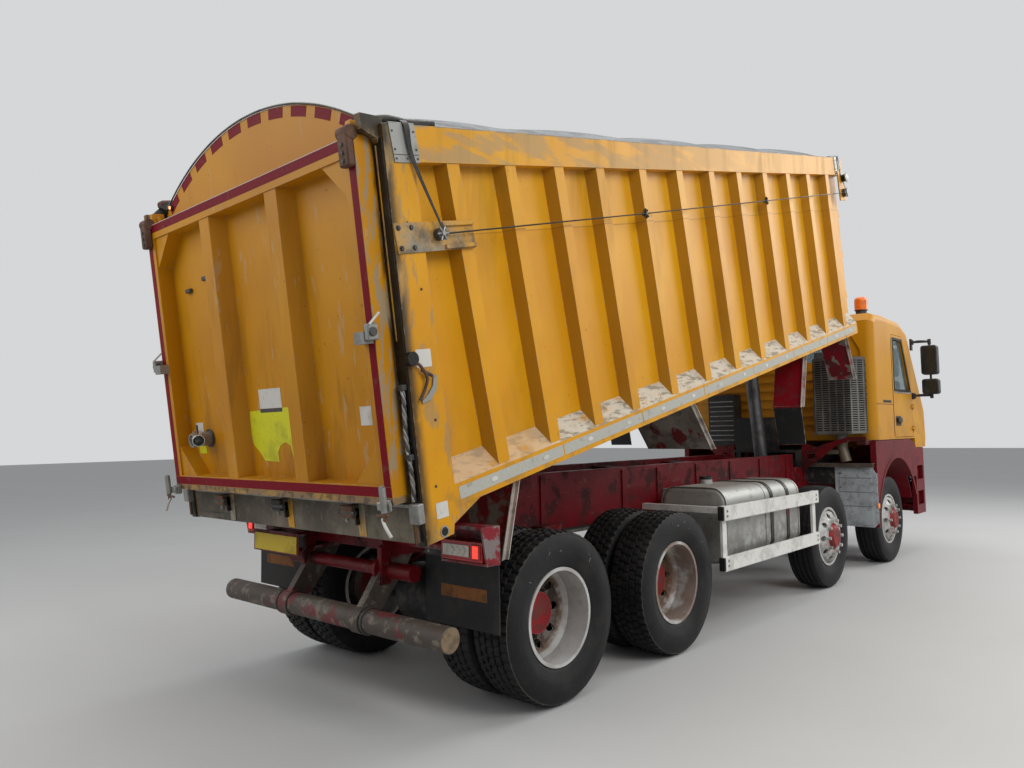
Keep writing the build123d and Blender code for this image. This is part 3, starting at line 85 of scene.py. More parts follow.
# Camera at the photograph's place, from its solved pose
photo_width = 1024
camera_focal_px = 771.47
camera_place = TRUCK @ Vector((-3.7012, -4.1558, 1.6305))
camera_yaw = math.radians(42.254)
camera_pitch = math.radians(3.710)
camera_roll = math.radians(-0.956)


def link(obj):
    bpy.context.scene.collection.objects.link(obj)
    return obj


def make_camera():
    view = Vector(
        (
            math.cos(camera_yaw) * math.cos(camera_pitch),
            math.sin(camera_yaw) * math.cos(camera_pitch),
            math.sin(camera_pitch),
        )
    )
    level_right = view.cross(Vector((0, 0, 1))).normalized()
    level_up = level_right.cross(view)
    right = level_right * math.cos(camera_roll) + level_up * math.sin(camera_roll)
    up = level_up * math.cos(camera_roll) - level_right * math.sin(camera_roll)
    data = bpy.data.cameras.new("camera")
    data.sensor_width = 36.0
    data.lens = camera_focal_px / photo_width * data.sensor_width
    data.clip_end = 200
    camera = link(bpy.data.objects.new("camera", data))
    matrix = Matrix((right, up, -view)).transposed().to_4x4()
    matrix.translation = camera_place
    camera.matrix_world = matrix
    bpy.context.scene.camera = camera


# Materials
def rgb(text):
    """A linear colour from a written one, such as D9961B."""
    parts = [int(text[i : i + 2], 16) / 255 for i in (0, 2, 4)]
    linear = [p / 12.92 if p <= 0.04045 else ((p + 0.055) / 1.055) ** 2.4 for p in parts]
    return (*linear, 1.0)


class Surface:
    """A material under construction: a base colour and masked layers over it."""

    def __init__(self, name, colour, rough, metal=0.0, spec=0.35):
        self.material = bpy.data.materials.new(name)
        self.material.use_nodes = True
        self.nodes = self.material.node_tree.nodes
        self.links = self.material.node_tree.links
        self.shader = self.nodes["Principled BSDF"]
        self.shader.inputs["Metallic"].default_value = metal
        self.shader.inputs["Roughness"].default_value = rough
        self.shader.inputs["Specular IOR Level"].default_value = spec
        self.shader.inputs["Base Color"].default_value = rgb(colour)
        self.colour = rgb(colour)
        self.rough = rough
        self.place = self.nodes.new("ShaderNodeTexCoord").outputs["Object"]

    def put(self, socket, value):
        if isinstance(value, bpy.types.NodeSocket):
            self.links.new(value, socket)
        else:
            socket.default_value = value

    def math(self, operation, a, b=0.0):
        node = self.nodes.new("ShaderNodeMath")
        node.operation = operation
        self.put(node.inputs[0], a)
        self.put(node.inputs[1], b)
        return node.outputs[0]

    def along(self, direction, origin=(0, 0, 0)):
        """The distance of a point from origin along a direction."""
        node = self.nodes.new("ShaderNodeVectorMath")
        node.operation = "DOT_PRODUCT"
        self.put(node.inputs[0], self.place)
        node.inputs[1].default_value = tuple(direction)
        return self.math("SUBTRACT", node.outputs["Value"], Vector(direction).dot(Vector(origin)))

    @property
    def height(self):
        return self.along((0, 0, 1))

    @property
    def outward(self):
        """The distance from the truck's middle plane."""
        return self.math("ABSOLUTE", self.along((0, 1, 0)))

    def facing(self, direction):
        """How far a surface faces a direction: 1 fully, -1 away from it."""
        node = self.nodes.new("ShaderNodeVectorMath")
        node.operation = "DOT_PRODUCT"
        self.links.new(self.nodes["Texture Coordinate"].outputs["Normal"], node.inputs[0])
        node.inputs[1].default_value = tuple(direction)
        return node.outputs["Value"]

    def range(self, value, low, high):
        """0 below low, 1 above high; the other way round where low is above high."""
        node = self.nodes.new("ShaderNodeMapRange")
        node.interpolation_type = "SMOOTHSTEP"
        self.put(node.inputs["Value"], value)
        if low < high:
            limits = (low, high, 0.0, 1.0)
        else:
            limits = (high, low, 1.0, 0.0)
        for key, limit in zip(("From Min", "From Max", "To Min", "To Max"), limits):
            node.inputs[key].default_value = limit
        return node.outputs["Result"]

    def band(self, value, low, low_full, high_full, high):
        """1 between two places, and 0 beyond them."""
        return self.both(self.range(value, low, low_full), self.range(value, high, high_full))

    def noise(self, scale, low, high, shift=0.0, stretch=(1, 1, 1), detail=5.0):
        """A cloudy mask, stretched along the axes that stretch makes small."""
        mapping = self.nodes.new("ShaderNodeMapping")
        self.links.new(self.place, mapping.inputs["Vector"])
        mapping.inputs["Scale"].default_value = stretch
        mapping.inputs["Location"].default_value = (shift, shift * 0.7, -shift)
        node = self.nodes.new("ShaderNodeTexNoise")
        self.links.new(mapping.outputs["Vector"], node.inputs["Vector"])
        node.inputs["Scale"].default_value = scale
        node.inputs["Detail"].default_value = detail
        node.inputs["Roughness"].default_value = 0.6
        return self.range(node.outputs["Fac"], low, high)

    def edges(self, radius):
        """A mask of outer edges, from the difference of a rounded normal and the real one."""
        bevel = self.nodes.new("ShaderNodeBevel")
        bevel.samples = 4
        bevel.inputs["Radius"].default_value = radius
        geometry = self.nodes.new("ShaderNodeNewGeometry")
        dot = self.nodes.new("ShaderNodeVectorMath")
        dot.operation = "DOT_PRODUCT"
        self.links.new(bevel.outputs["Normal"], dot.inputs[0])
        self.links.new(geometry.outputs["Normal"], dot.inputs[1])
        return self.range(self.math("SUBTRACT", 1.0, dot.outputs["Value"]), 0.02, 0.12)

    def layer(self, colour, rough, *masks):
        """Lay a colour, and a roughness unless it is None, over what is there, by the masks' product."""
        mask = self.both(*masks)
        mix = self.nodes.new("ShaderNodeMix")
        mix.data_type = "RGBA"
        self.put(mix.inputs["Factor"], mask)
        self.put(mix.inputs[6], self.colour)
        mix.inputs[7].default_value = rgb(colour)
        self.colour = mix.outputs[2]
        self.links.new(self.colour, self.shader.inputs["Base Color"])
        if rough is not None:
            blend = self.nodes.new("ShaderNodeMix")
            self.put(blend.inputs["Factor"], mask)
            self.put(blend.inputs[2], self.rough)
            blend.inputs[3].default_value = rough
            self.rough = blend.outputs[0]
            self.links.new(self.rough, self.shader.inputs["Roughness"])

    def both(self, first, *others):
        """The product of masks and shares."""
        for other in others:
            first = self.math("MULTIPLY", first, other)
        return first

    def bump(self, height, strength, distance):
        node = self.nodes.new("ShaderNodeBump")
        node.inputs["Strength"].default_value = strength
        node.inputs["Distance"].default_value = distance
        self.links.new(height, node.inputs["Height"])
        self.links.new(node.outputs["Normal"], self.shader.inputs["Normal"])
        return self.material

    def grain(self, scale, strength, distance, **noise_words):
        """The last step of most materials: a fine cloudy bump."""
        return self.bump(self.noise(scale, 0.3, 0.7, **noise_words), strength, distance)

    def pattern(self, kind, scale, output="Fac"):
        """The output of a texture node other than noise."""
        node = self.nodes.new("ShaderNodeTex" + kind)
        self.links.new(self.place, node.inputs["Vector"])
        node.inputs["Scale"].default_value = scale
        if kind == "Wave":
            node.bands_direction = "Y"
        return node.outputs[output]


def yellow_paint(name, kind):
    """The yellow paint of the body, gate or cab, with worn edges, grime and, on the body, residue."""
    # The cab's two yellows are darker than the body's: painted shade on the cab's side, whose paint is the same
    # yellow
    s = Surface(name, {"cab": "BA800C", "gate": "B67903"}.get(kind, "C98A06"), 0.42, 0.0, 0.25)
    s.layer({"cab": "C48C16", "gate": "C28608"}.get(kind, "D6990C"), None, s.noise(0.9, 0.35, 0.7, detail=3))
    s.layer("9E6C08", 0.5, s.noise(2.3, 0.5, 0.72, 3, (1, 1, 0.35)), 0.4)
    up = s.along(bed_up, pivot)
    along = s.along(bed_along, pivot)
    if kind == "body":
        # Grime runs down from the top rail and up from the bottom
        run = s.noise(7.0, 0.48, 0.66, 11, (1, 1, 0.08))
        s.layer("7A5410", 0.6, run, s.range(up, 0.9, 2.0), 0.4)
        s.layer("6B4A12", 0.6, s.noise(26, 0.72, 0.76, 5, detail=2), 0.4)
        # A slightly paler panel above the seam that runs a quarter of the way down
        s.layer("DDAA35", None, s.range(up, 1.475, 1.482), 0.16)
        seam = s.band(up, 1.47, 1.473, 1.477, 1.48)
        s.layer("8A5C10", 0.5, seam, 0.55)
        # Worn grey patches on the top rail, most near the rear
        rail = s.both(s.range(up, 1.835, 1.85), s.range(along, 5.8, 0.5))
        worn = s.noise(3.0, 0.45, 0.52, 8, (0.45, 1, 1.8))
        s.layer("86806E", 0.6, rail, worn, 0.5)
        top = s.range(up, 2.018, 2.026)
        s.layer("77736A", 0.6, top, s.noise(5, 0.4, 0.5, 6), 0.8)
        # The rear posts are bare and scratched along their edges
        post = s.range(along, 0.0, -0.1)
        s.layer("8B7B5C", 0.6, post, s.noise(9, 0.52, 0.58, 13, (1, 1, 0.3)), 0.55)
        # Grease smeared round the edge beside the tailgate, most at the top
        behind = s.along(gate_forward, GATE.translation)
        smear = s.both(s.range(behind, 0.075, 0.008), s.noise(7, 0.34, 0.52, 27, (1, 1, 0.35)))
        s.layer("2B2620", 0.5, smear, 0.92)
        head = s.both(s.range(behind, 0.16, 0.06), s.range(up, 1.9, 1.96))
        s.layer("2A241D", 0.5, head, s.noise(6, 0.44, 0.58, 29), 0.8)
    if kind == "gate":
        run = s.noise(9.0, 0.5, 0.66, 31, (1, 1, 0.1))
        s.layer("8A5C12", 0.55, run, s.range(up, 2.0, 0.6), 0.5)
        s.layer("5E4318", 0.6, s.noise(34, 0.71, 0.75, 15, detail=2), 0.6)
        scratch = s.noise(14, 0.62, 0.66, 17, (1, 1, 0.25))
        s.layer("A9A08A", 0.5, scratch, 0.3)
        side = s.both(s.range(s.outward, 1.168, 1.172), s.noise(26, 0.5, 0.58, 19, (1, 1, 0.2)))
        s.layer("8D8674", 0.55, side, 0.75)
        # Grease thrown on the frame's front edge, next to the post
        near = s.range(s.along(gate_forward, GATE.translation), -0.035, -0.015)
        out = s.range(s.outward, 1.16, 1.168)
        greased = s.both(near, out, s.noise(8, 0.4, 0.55, 41, (1, 1, 0.3)))
        s.layer("2A231A", 0.5, greased, 0.85)
        # The frame's bottom edge is worn to grey metal
        foot = s.range(s.along(gate_up, GATE.translation), 0.264, 0.256)
        s.layer("6F675A", 0.55, foot, 0.75)
        s.layer("A88440", 0.5, foot, s.noise(5, 0.5, 0.56, 43, (1, 1, 3)), 0.7)
        s.layer("2E2A25", 0.6, foot, s.noise(16, 0.5, 0.6, 44), 0.6)
    if kind == "body":
        # Painted shade: surfaces that face the rear, the arched board among them, are darker and a little rougher
        s.layer("7A5206", 0.5, s.range(s.facing(bed_along), -0.7, -0.9), 0.5)
        # Whitish residue on the sloped plates between the ribs, thinner beside the tailgate
        tilt = s.facing(bed_up)
        slope = s.band(tilt, 0.2, 0.3, 0.8, 0.9)
        low = s.both(slope, s.band(up, 0.18, 0.192, 0.325, 0.345))
        low = s.both(low, s.math("ADD", 0.5, s.both(s.range(along, 0.5, 0.8), 0.5)))
        s.layer("BFBAAC", 0.85, low, s.noise(6, 0.26, 0.44, 21, (1, 1, 2)), 0.9)
        s.layer("7A705E", 0.85, low, s.noise(30, 0.5, 0.6, 23, (0.25, 1, 1)), 0.75)
        s.layer("4A4032", 0.85, low, s.noise(60, 0.62, 0.68, 25), 0.8)
        foot = s.range(up, 0.5, 0.0)
        s.layer("8A6A36", 0.7, foot, s.noise(6, 0.5, 0.62, 2), 0.5)
    if kind == "cab":
        dust = s.range(s.height, 2.1, 1.4)
        s.layer("8F7442", 0.6, dust, s.noise(5, 0.45, 0.65), 0.45)
        # Black grille slats, which stand proud of the front
        s.layer("1A1A1A", 0.5, s.range(s.along((1, 0, 0), TRUCK @ Vector((7.832, 0, 0))), 0.0, 0.001))
    s.layer("9A958A", 0.55, s.edges(0.007), s.noise(24, 0.5, 0.58, 4), 0.85)
    return s.grain(60, 0.12, 0.001, detail=2)


def red_paint(name="red_paint", grime=0.75):
    s = Surface(name, "5E0810", 0.42, 0.0, 0.22)
    s.layer("6E0C18", None, s.noise(1.7, 0.4, 0.65))
    s.layer("230F0F", 0.75, s.noise(4.5, 0.5, 0.62, 6), grime)
    s.layer("6B5A52", 0.8, s.noise(14, 0.6, 0.68, 9), grime * 0.6)
    s.layer("7C6F66", 0.6, s.edges(0.006), s.noise(20, 0.5, 0.6), 0.5)
    return s.grain(45, 0.25, 0.002)


def dusty(name, colour, rough, dust="6E675C", share=0.5, metal=0.0, scale=6.0, bump=0.2, tint=None):
    """A plain finish with dust in clouds."""
    s = Surface(name, colour, rough, metal)
    if tint:
        s.layer(tint, None, s.noise(2.2, 0.4, 0.62))
    s.layer(dust, 0.85, s.noise(scale, 0.45, 0.65, 1), share)
    s.layer(dust, 0.9, s.noise(scale * 5, 0.58, 0.66, 2), share * 0.6)
    return s.grain(50, bump, 0.0015)


def lens(name, colour, glow=0.0):
    """A moulded lamp lens with fine flutes."""
    s = Surface(name, colour, 0.12, 0.0, 0.6)
    s.layer("5A4A42", 0.5, s.noise(9, 0.5, 0.68), 0.3)
    s.bump(s.pattern("Wave", 40), 0.35, 0.002)
    if glow:
        s.shader.inputs["Emission Color"].default_value = rgb(colour)
        s.shader.inputs["Emission Strength"].default_value = glow
    return s.material


def glass(name):
    s = Surface(name, "AEBBBD", 0.04, 0.0, 0.6)
    s.layer("6E7672", 0.35, s.noise(4, 0.5, 0.75), 0.35)
    s.shader.inputs["Transmission Weight"].default_value = 0.85
    s.shader.inputs["IOR"].default_value = 1.2
    return s.material


def tyre_rubber(name):
    """Black rubber, with dusty brown clouds."""
    s = Surface(name, "0F0F11", 0.6, 0.0, 0.25)
    s.layer("19191B", None, s.noise(3.5, 0.38, 0.62))
    s.layer("3A352F", 0.85, s.noise(8, 0.48, 0.66, 3), 0.25)
    s.layer("4A443C", 0.9, s.noise(28, 0.6, 0.68, 7), 0.2)
    return s.grain(70, 0.25, 0.001)


def rim_finish(name, axle, rust):
    """Silver rim paint, dusty in the dish, with a painted hub in the middle."""
    s = Surface(name, "C2C2BF", 0.4, 0.25)
    away_x = s.along((1, 0, 0), (axle_x[axle], 0, 0))
    away_z = s.along((0, 0, 1), (0, 0, hub_z))
    radius = s.math("SQRT", s.math("ADD", s.both(away_x, away_x), s.both(away_z, away_z)))
    s.layer("837A6C", 0.7, s.noise(7, 0.45, 0.64), 0.35)
    s.layer("5E5449", 0.8, s.range(radius, 0.3, 0.2), s.noise(10, 0.4, 0.6, 5), 0.5)
    if axle > 2:
        disc = s.range(radius, 0.247, 0.238)
        s.layer("554A40", 0.75, disc, 0.8)
        s.layer("3E342C", 0.85, disc, s.noise(9, 0.4, 0.56, 15), 0.8)
        ring = s.band(radius, 0.236, 0.241, 0.252, 0.262)
        s.layer("6A4E38", 0.85, ring, s.noise(12, 0.35, 0.55, 16), 0.8)
    s.layer("6B4A33", 0.85, s.noise(5, 0.35, 0.55, 9), rust)
    s.layer("8E1A20", 0.5, s.range(radius, 0.14, 0.134))
    s.layer("4A3C34", 0.8, s.range(radius, 0.14, 0.1), s.noise(12, 0.42, 0.55, 2), 0.6)
    s.layer("C9C7C0", 0.45, s.edges(0.004), 0.5)
    return s.grain(55, 0.25, 0.0015)


def bar_metal(name):
    """The round bar's grey-brown worn metal with red remains, and the red lamp carriers above it."""
    s = Surface(name, "463E37", 0.6, 0.1)
    s.layer("574F46", None, s.noise(3, 0.4, 0.62, 0, (1, 0.5, 1)))
    s.layer("6B1F26", 0.6, s.noise(5.5, 0.54, 0.6, 4, (1, 0.6, 1)), 0.7)
    s.layer("8A8174", 0.8, s.noise(16, 0.52, 0.64, 7), 0.5)
    carrier = s.range(s.height, 0.88, 0.9)
    s.layer("7A101C", 0.45, carrier)
    s.layer("776B69", 0.7, carrier, s.noise(7, 0.5, 0.56, 9, (1, 0.5, 1)))
    s.layer("2A1A1B", 0.7, carrier, s.noise(15, 0.55, 0.65, 11), 0.6)
    s.layer("9A948A", 0.6, s.edges(0.005), 0.4)
    return s.grain(40, 0.3, 0.002)


def tank_metal(name):
    """Brushed tank sheet, dirty below."""
    s = Surface(name, "9E9E99", 0.45, 0.4)
    s.layer("ADADA8", None, s.noise(3, 0.38, 0.66, 0, (0.3, 1, 1)))
    low = s.range(s.height, 1.05, 0.6)
    s.layer("5F5B53", 0.75, low, s.noise(6, 0.35, 0.6), 0.7)
    s.layer("7E7A71", 0.7, s.noise(12, 0.52, 0.66, 4), 0.5)
    return s.grain(90, 0.2, 0.001, stretch=(0.05, 1, 1))


def cloth(name, colour, lit):
    """Coated cloth: a fine weave, with creases and dust."""
    s = Surface(name, colour, 0.62)
    s.layer(lit, None, s.noise(1.3, 0.35, 0.65))
    s.layer("54524C", 0.8, s.noise(5, 0.45, 0.62, 3), 0.55)
    s.layer("8B877C", 0.85, s.noise(22, 0.6, 0.68, 8), 0.5)
    weave = s.pattern("Checker", 320)
    return s.bump(s.math("ADD", s.both(weave, 0.3), s.noise(9, 0.3, 0.7)), 0.35, 0.004)


def tape(name, colour, edge):
    """Reflective tape with a honeycomb under its face, scuffed."""
    s = Surface(name, colour, 0.5, 0.0, 0.1)
    s.layer(edge, 0.3, s.range(s.pattern("Voronoi", 180, "Distance"), 0.5, 0.2))
    s.layer("6A5A4C", 0.7, s.noise(14, 0.6, 0.68), 0.3)
    return s.grain(40, 0.15, 0.001)


def louvred(name):
    """Grey sheet with rows of dark slots above the guard's foot, the slots' darkness being painted shade, and
    plain pipe below it.
    """
    s = Surface(name, "5F5D5A", 0.45, 0.4)
    s.layer("393734", 0.65, s.noise(5, 0.42, 0.62), 0.55)
    s.layer("8A8780", 0.5, s.noise(3, 0.5, 0.6, 4, (1, 1, 0.2)), 0.5)
    column, row = 0.042, 0.0132
    across = s.math("PINGPONG", s.along((-0.45, 1, 0)), column)
    rise = s.math("PINGPONG", s.height, row)
    # The slots are painted near-black: painted shade in the openings
    slot = s.both(s.range(across, 0.034, 0.031), s.range(rise, row * 0.56, row * 0.46))
    here = s.band(s.height, 1.595, 1.6, 2.44, 2.445)
    s.layer("0D0C0B", 0.9, slot, here)
    s.layer("6A6052", 0.5, s.range(s.height, 1.55, 1.5))
    return s.material


def lamp_case(name):
    """The lamps' material by place: red clusters behind, amber beacons on dark stems, clear lamps in front."""
    s = Surface(name, "9E1418", 0.2, 0.0, 0.6)
    s.layer("26241F", 0.6, s.range(s.height, 2.9, 2.95))
    s.layer("E8700C", 0.15, s.range(s.height, 3.056, 3.06))
    forward = s.along((1, 0, 0), TRUCK @ Vector((7.4, 0, 0)))
    s.layer("B9BDBE", 0.12, s.range(forward, 0.0, 0.05))
    s.layer("4F4238", 0.5, s.noise(12, 0.5, 0.64), 0.35)
    return s.bump(s.pattern("Wave", 26), 0.3, 0.003)


def mud_shield(name):
    """The mud shields by place along the body: worn grey, then red, then maroon with a bare patch."""
    s = Surface(name, "6E675F", 0.6, 0.1)
    s.layer("8A857C", None, s.noise(3, 0.4, 0.6))
    along = s.along(bed_along, pivot)
    up = s.along(bed_up, pivot)
    s.layer("7E1A20", 0.55, s.range(along, 0.9, 0.8), s.noise(7, 0.44, 0.54, 3))
    s.layer("6E1D20", 0.6, s.range(along, 2.2, 2.3), s.noise(6, 0.56, 0.6, 5, (1, 1, 0.3)))
    s.layer("86081F", 0.45, s.range(along, 4.0, 4.1))
    s.layer("8B867C", 0.65, s.range(along, 5.5, 5.6), s.noise(3.4, 0.46, 0.49, 12))
    s.layer("3A1A20", 0.6, s.range(along, 5.5, 5.6), s.noise(4.5, 0.5, 0.6, 31), 0.5)
    # Flanges along the outer edges, worn to pale metal
    flange = s.both(s.range(s.outward, 1.152, 1.158), s.noise(6, 0.34, 0.5, 17, (1, 1, 0.5)))
    s.layer("B9B2A8", 0.6, flange, 0.85)
    flap = s.both(s.band(along, 4.56, 4.57, 4.59, 4.6), s.range(up, -0.415, -0.42))
    s.layer("1F2223", 0.55, flap)
    s.layer("3B3430", 0.75, s.noise(11, 0.5, 0.64, 7), 0.5)
    s.layer("C4BFB4", 0.6, s.edges(0.006), s.noise(15, 0.4, 0.55), 0.9)
    return s.grain(18, 0.3, 0.003)


def mud_screen(name):
    """The screens behind the first axle: grey outside, black inside, with a brown dusty lip."""
    s = Surface(name, "A2A9AC", 0.5, 0.05)
    s.layer("AEB5B8", None, s.noise(2.4, 0.4, 0.62))
    s.layer("5F5F5B", 0.75, s.noise(6, 0.45, 0.65, 3), 0.35)
    s.layer("1E1E1D", 0.6, s.range(s.outward, 0.783, 0.778))
    s.layer("4A3F36", 0.7, s.range(s.height, 1.172, 1.178))
    s.layer("675F54", 0.8, s.noise(14, 0.52, 0.62, 6), 0.4)
    s.layer("A8ABAA", 0.5, s.edges(0.005), 0.5)
    return s.grain(40, 0.2, 0.0015)


MAT = {
    "body": yellow_paint("body_yellow_paint", "body"),
    "gate": yellow_paint("gate_yellow_paint", "gate"),
    "cab": yellow_paint("cab_yellow_paint", "cab"),
    "red": red_paint(),
    "red_clean": red_paint("cab_red_paint", 0.2),
    "black": dusty("black_paint", "1B1B1D", 0.5),
    "rubber": dusty("flap_rubber", "111113", 0.6, "3A362F", 0.4),
    "plastic": dusty("black_plastic", "1D1D1F", 0.42, "59544B", 0.3),
    "white": dusty("white_guard", "D4D3CD", 0.4, "8A8377", 0.4),
    "tank": tank_metal("tank_sheet"),
    "steel": dusty("galvanised_steel", "8F8F8B", 0.45, "6B6257", 0.45, 0.55),
    "dark_steel": dusty("dark_steel", "4B4A48", 0.5, "2B2724", 0.5, 0.4),
    "sill": dusty("worn_sill", "5E564A", 0.6, "8B8270", 0.45, 0.1, 4.0, 0.4, "453E34"),
    "maroon": dusty("maroon_shield", "4E1B1C", 0.6, "6D665C", 0.55),
    "cloth": cloth("load_cloth", "63676A", "7B7F82"),
    "louvred": louvred("louvred_guard"),
    "lamps": lamp_case("lamp_cases"),
    "mud_shield": mud_shield("mud_shield_paint"),
    "mud_screen": mud_screen("mud_screen_paint"),
    "glass": glass("window_glass"),
    "red_lens": lens("red_lens", "B01818"),
    "lit_lens": lens("lit_red_lens", "FF2A1C", 2.5),
    "clear_lens": lens("clear_lens", "C9C4B8"),
    "amber_lens": lens("amber_lens", "E07A10", 0.15),
    "tyre": tyre_rubber("tyre_rubber"),
    "red_tape": tape("maroon_tape", "6E0718", "7E0C1F"),
    "silver_tape": tape("silver_tape", "A7A69C", "BDBBB0"),
    "grease": dusty("greased_steel", "15130F", 0.35, "3A3226", 0.4, 0.1, 9.0, 0.5),
    "seat": dusty("seat_cloth", "2B2C30", 0.8, "3F3E3C", 0.3),
    "ram": dusty("ram_steel", "6F7072", 0.35, "2C2926", 0.4, 0.7),
    "sign": dusty("sign_plate", "C9C71C", 0.5, "77752F", 0.4),
    "plate": dusty("number_plate", "C9AC22", 0.4, "6F5F2A", 0.45),
    "label": dusty("blank_label", "C6C4BC", 0.5, "8C877C", 0.45),
    "chrome": dusty("bright_steel", "C4C4C0", 0.25, "7A766C", 0.3, 0.9),
    "rust": dusty("brown_rusty_steel", "5A4236", 0.7, "3A2A22", 0.5, 0.2, 12.0, 0.5, "6B4E3C"),
    "worn_yellow": dusty("worn_yellow", "C08A14", 0.5, "57524A", 0.75, 0.0, 7.0, 0.3, "8C8573"),
    "warm_lens": lens("warm_lens", "FF9A5A", 3.0),
    "scuff": dusty("scuffed_rubber", "5A5246", 0.9, "17171A", 0.7, 0.0, 9.0),
    "seal": dusty("black_seal", "121110", 0.6, "3B352C", 0.3),
    "dusty_cap": dusty("bar_end", "7E6C54", 0.85, "4A4034", 0.6, 0.0, 14.0),
    "bar": bar_metal("round_bar"),
    "flap_band": dusty("flap_band", "7A4A1E", 0.7, "2A2420", 0.6, 0.0, 9.0),
    "mirror_glass": dusty("mirror_glass", "3C4247", 0.12, "5A5E60", 0.2, 0.8),
}
for axle in (1, 2, 3, 4):
    MAT[f"rim_{axle}"] = rim_finish(f"rim_paint_{axle}", axle, rust=0.75 if axle == 3 else 0.15)


def repaint(names, material):
    """Give CAD nodes a material."""
    for name in names:
        node = frame["nodes"][name]
        node.data.materials.clear()
        node.data.materials.append(MAT[material])


def dress_nodes():
    bodies = frame["record"]["behaviour"]["bodies"]
    every = [node for members in bodies.values() for node in members]
    finish = {
        "red": ("chassis_frame", "subframe", "front_axles", "springs", "cab_carriers"),
        "red_clean": ("bumper", "front_wings"),
        "black": ("rear_axles", "driveline"),
        "bar": ("underrun_bar",),
        "rubber": ("mudflaps",),
        "lamps": ("lamps",),
        "tank": ("fuel_tank",),
        "white": ("side_guards",),
        "mud_screen": ("mud_screens",),
        "plastic": ("cab_back_units", "mirrors"),
        "louvred": ("heat_guard",),
        "cab": ("cab_shell", "door_right", "door_left"),
        "glass": ("cab_glass", "door_glass_right", "door_glass_left"),
        "seat": ("cab_interior",),
        "body": ("bed_floor", "bed_side_right", "bed_side_left", "bed_headboard"),
        "gate": ("sheet_hoops", "tailgate"),
        "sill": ("rear_sill",),
        "mud_shield": ("mud_shields",),
        "cloth": ("load_sheet",),
        "steel": ("tailgate_fittings",),
        "worn_yellow": ("sheet_fittings",),
        "ram": ("ram_barrel", "ram_stage_1", "ram_stage_2", "ram_stage_3"),
        "tyre": [name for name in every if name.startswith("tyre")],
    }
    for material, names in finish.items():
        repaint(names, material)
    repaint([name for name in every if name.startswith("knuckle")], "black")
    for axle in (1, 2, 3, 4):
        repaint([name for name in every if name.startswith((f"rim_{axle}", f"rims_{axle}"))], f"rim_{axle}")


# Mesh building
def circle(radius, angle):
    """The two coordinates of a point on a circle."""
    return radius * math.cos(angle), radius * math.sin(angle)


def skin(rings, sides, loop=False):
    """Faces between rings of points that follow each other, closed in a loop or capped at both ends."""
    faces = []
    for ring in range(rings if loop else rings - 1):
        here, there = ring * sides, (ring + 1) % rings * sides
        for k in range(sides):
            after = (k + 1) % sides
            faces.append((here + k, here + after, there + after, there + k))
    if not loop:
        faces.append(tuple(reversed(range(sides))))
        faces.append(tuple(range((rings - 1) * sides, rings * sides)))
    return faces


def smooth_route(points, steps):
    """Catmull-Rom points through a route."""
    padded = [points[0] * 2 - points[1]] + points + [points[-1] * 2 - points[-2]]
    way = []
    for a, b, c, d in zip(padded, padded[1:], padded[2:], padded[3:]):
        for k in range(steps):
            t = k / steps
            bend = (2 * a - 5 * b + 4 * c - d) * t**2 + (3 * b - a - 3 * c + d) * t**3
            way.append(0.5 * (2 * b + (c - a) * t + bend))
    way.append(points[-1])
    return way


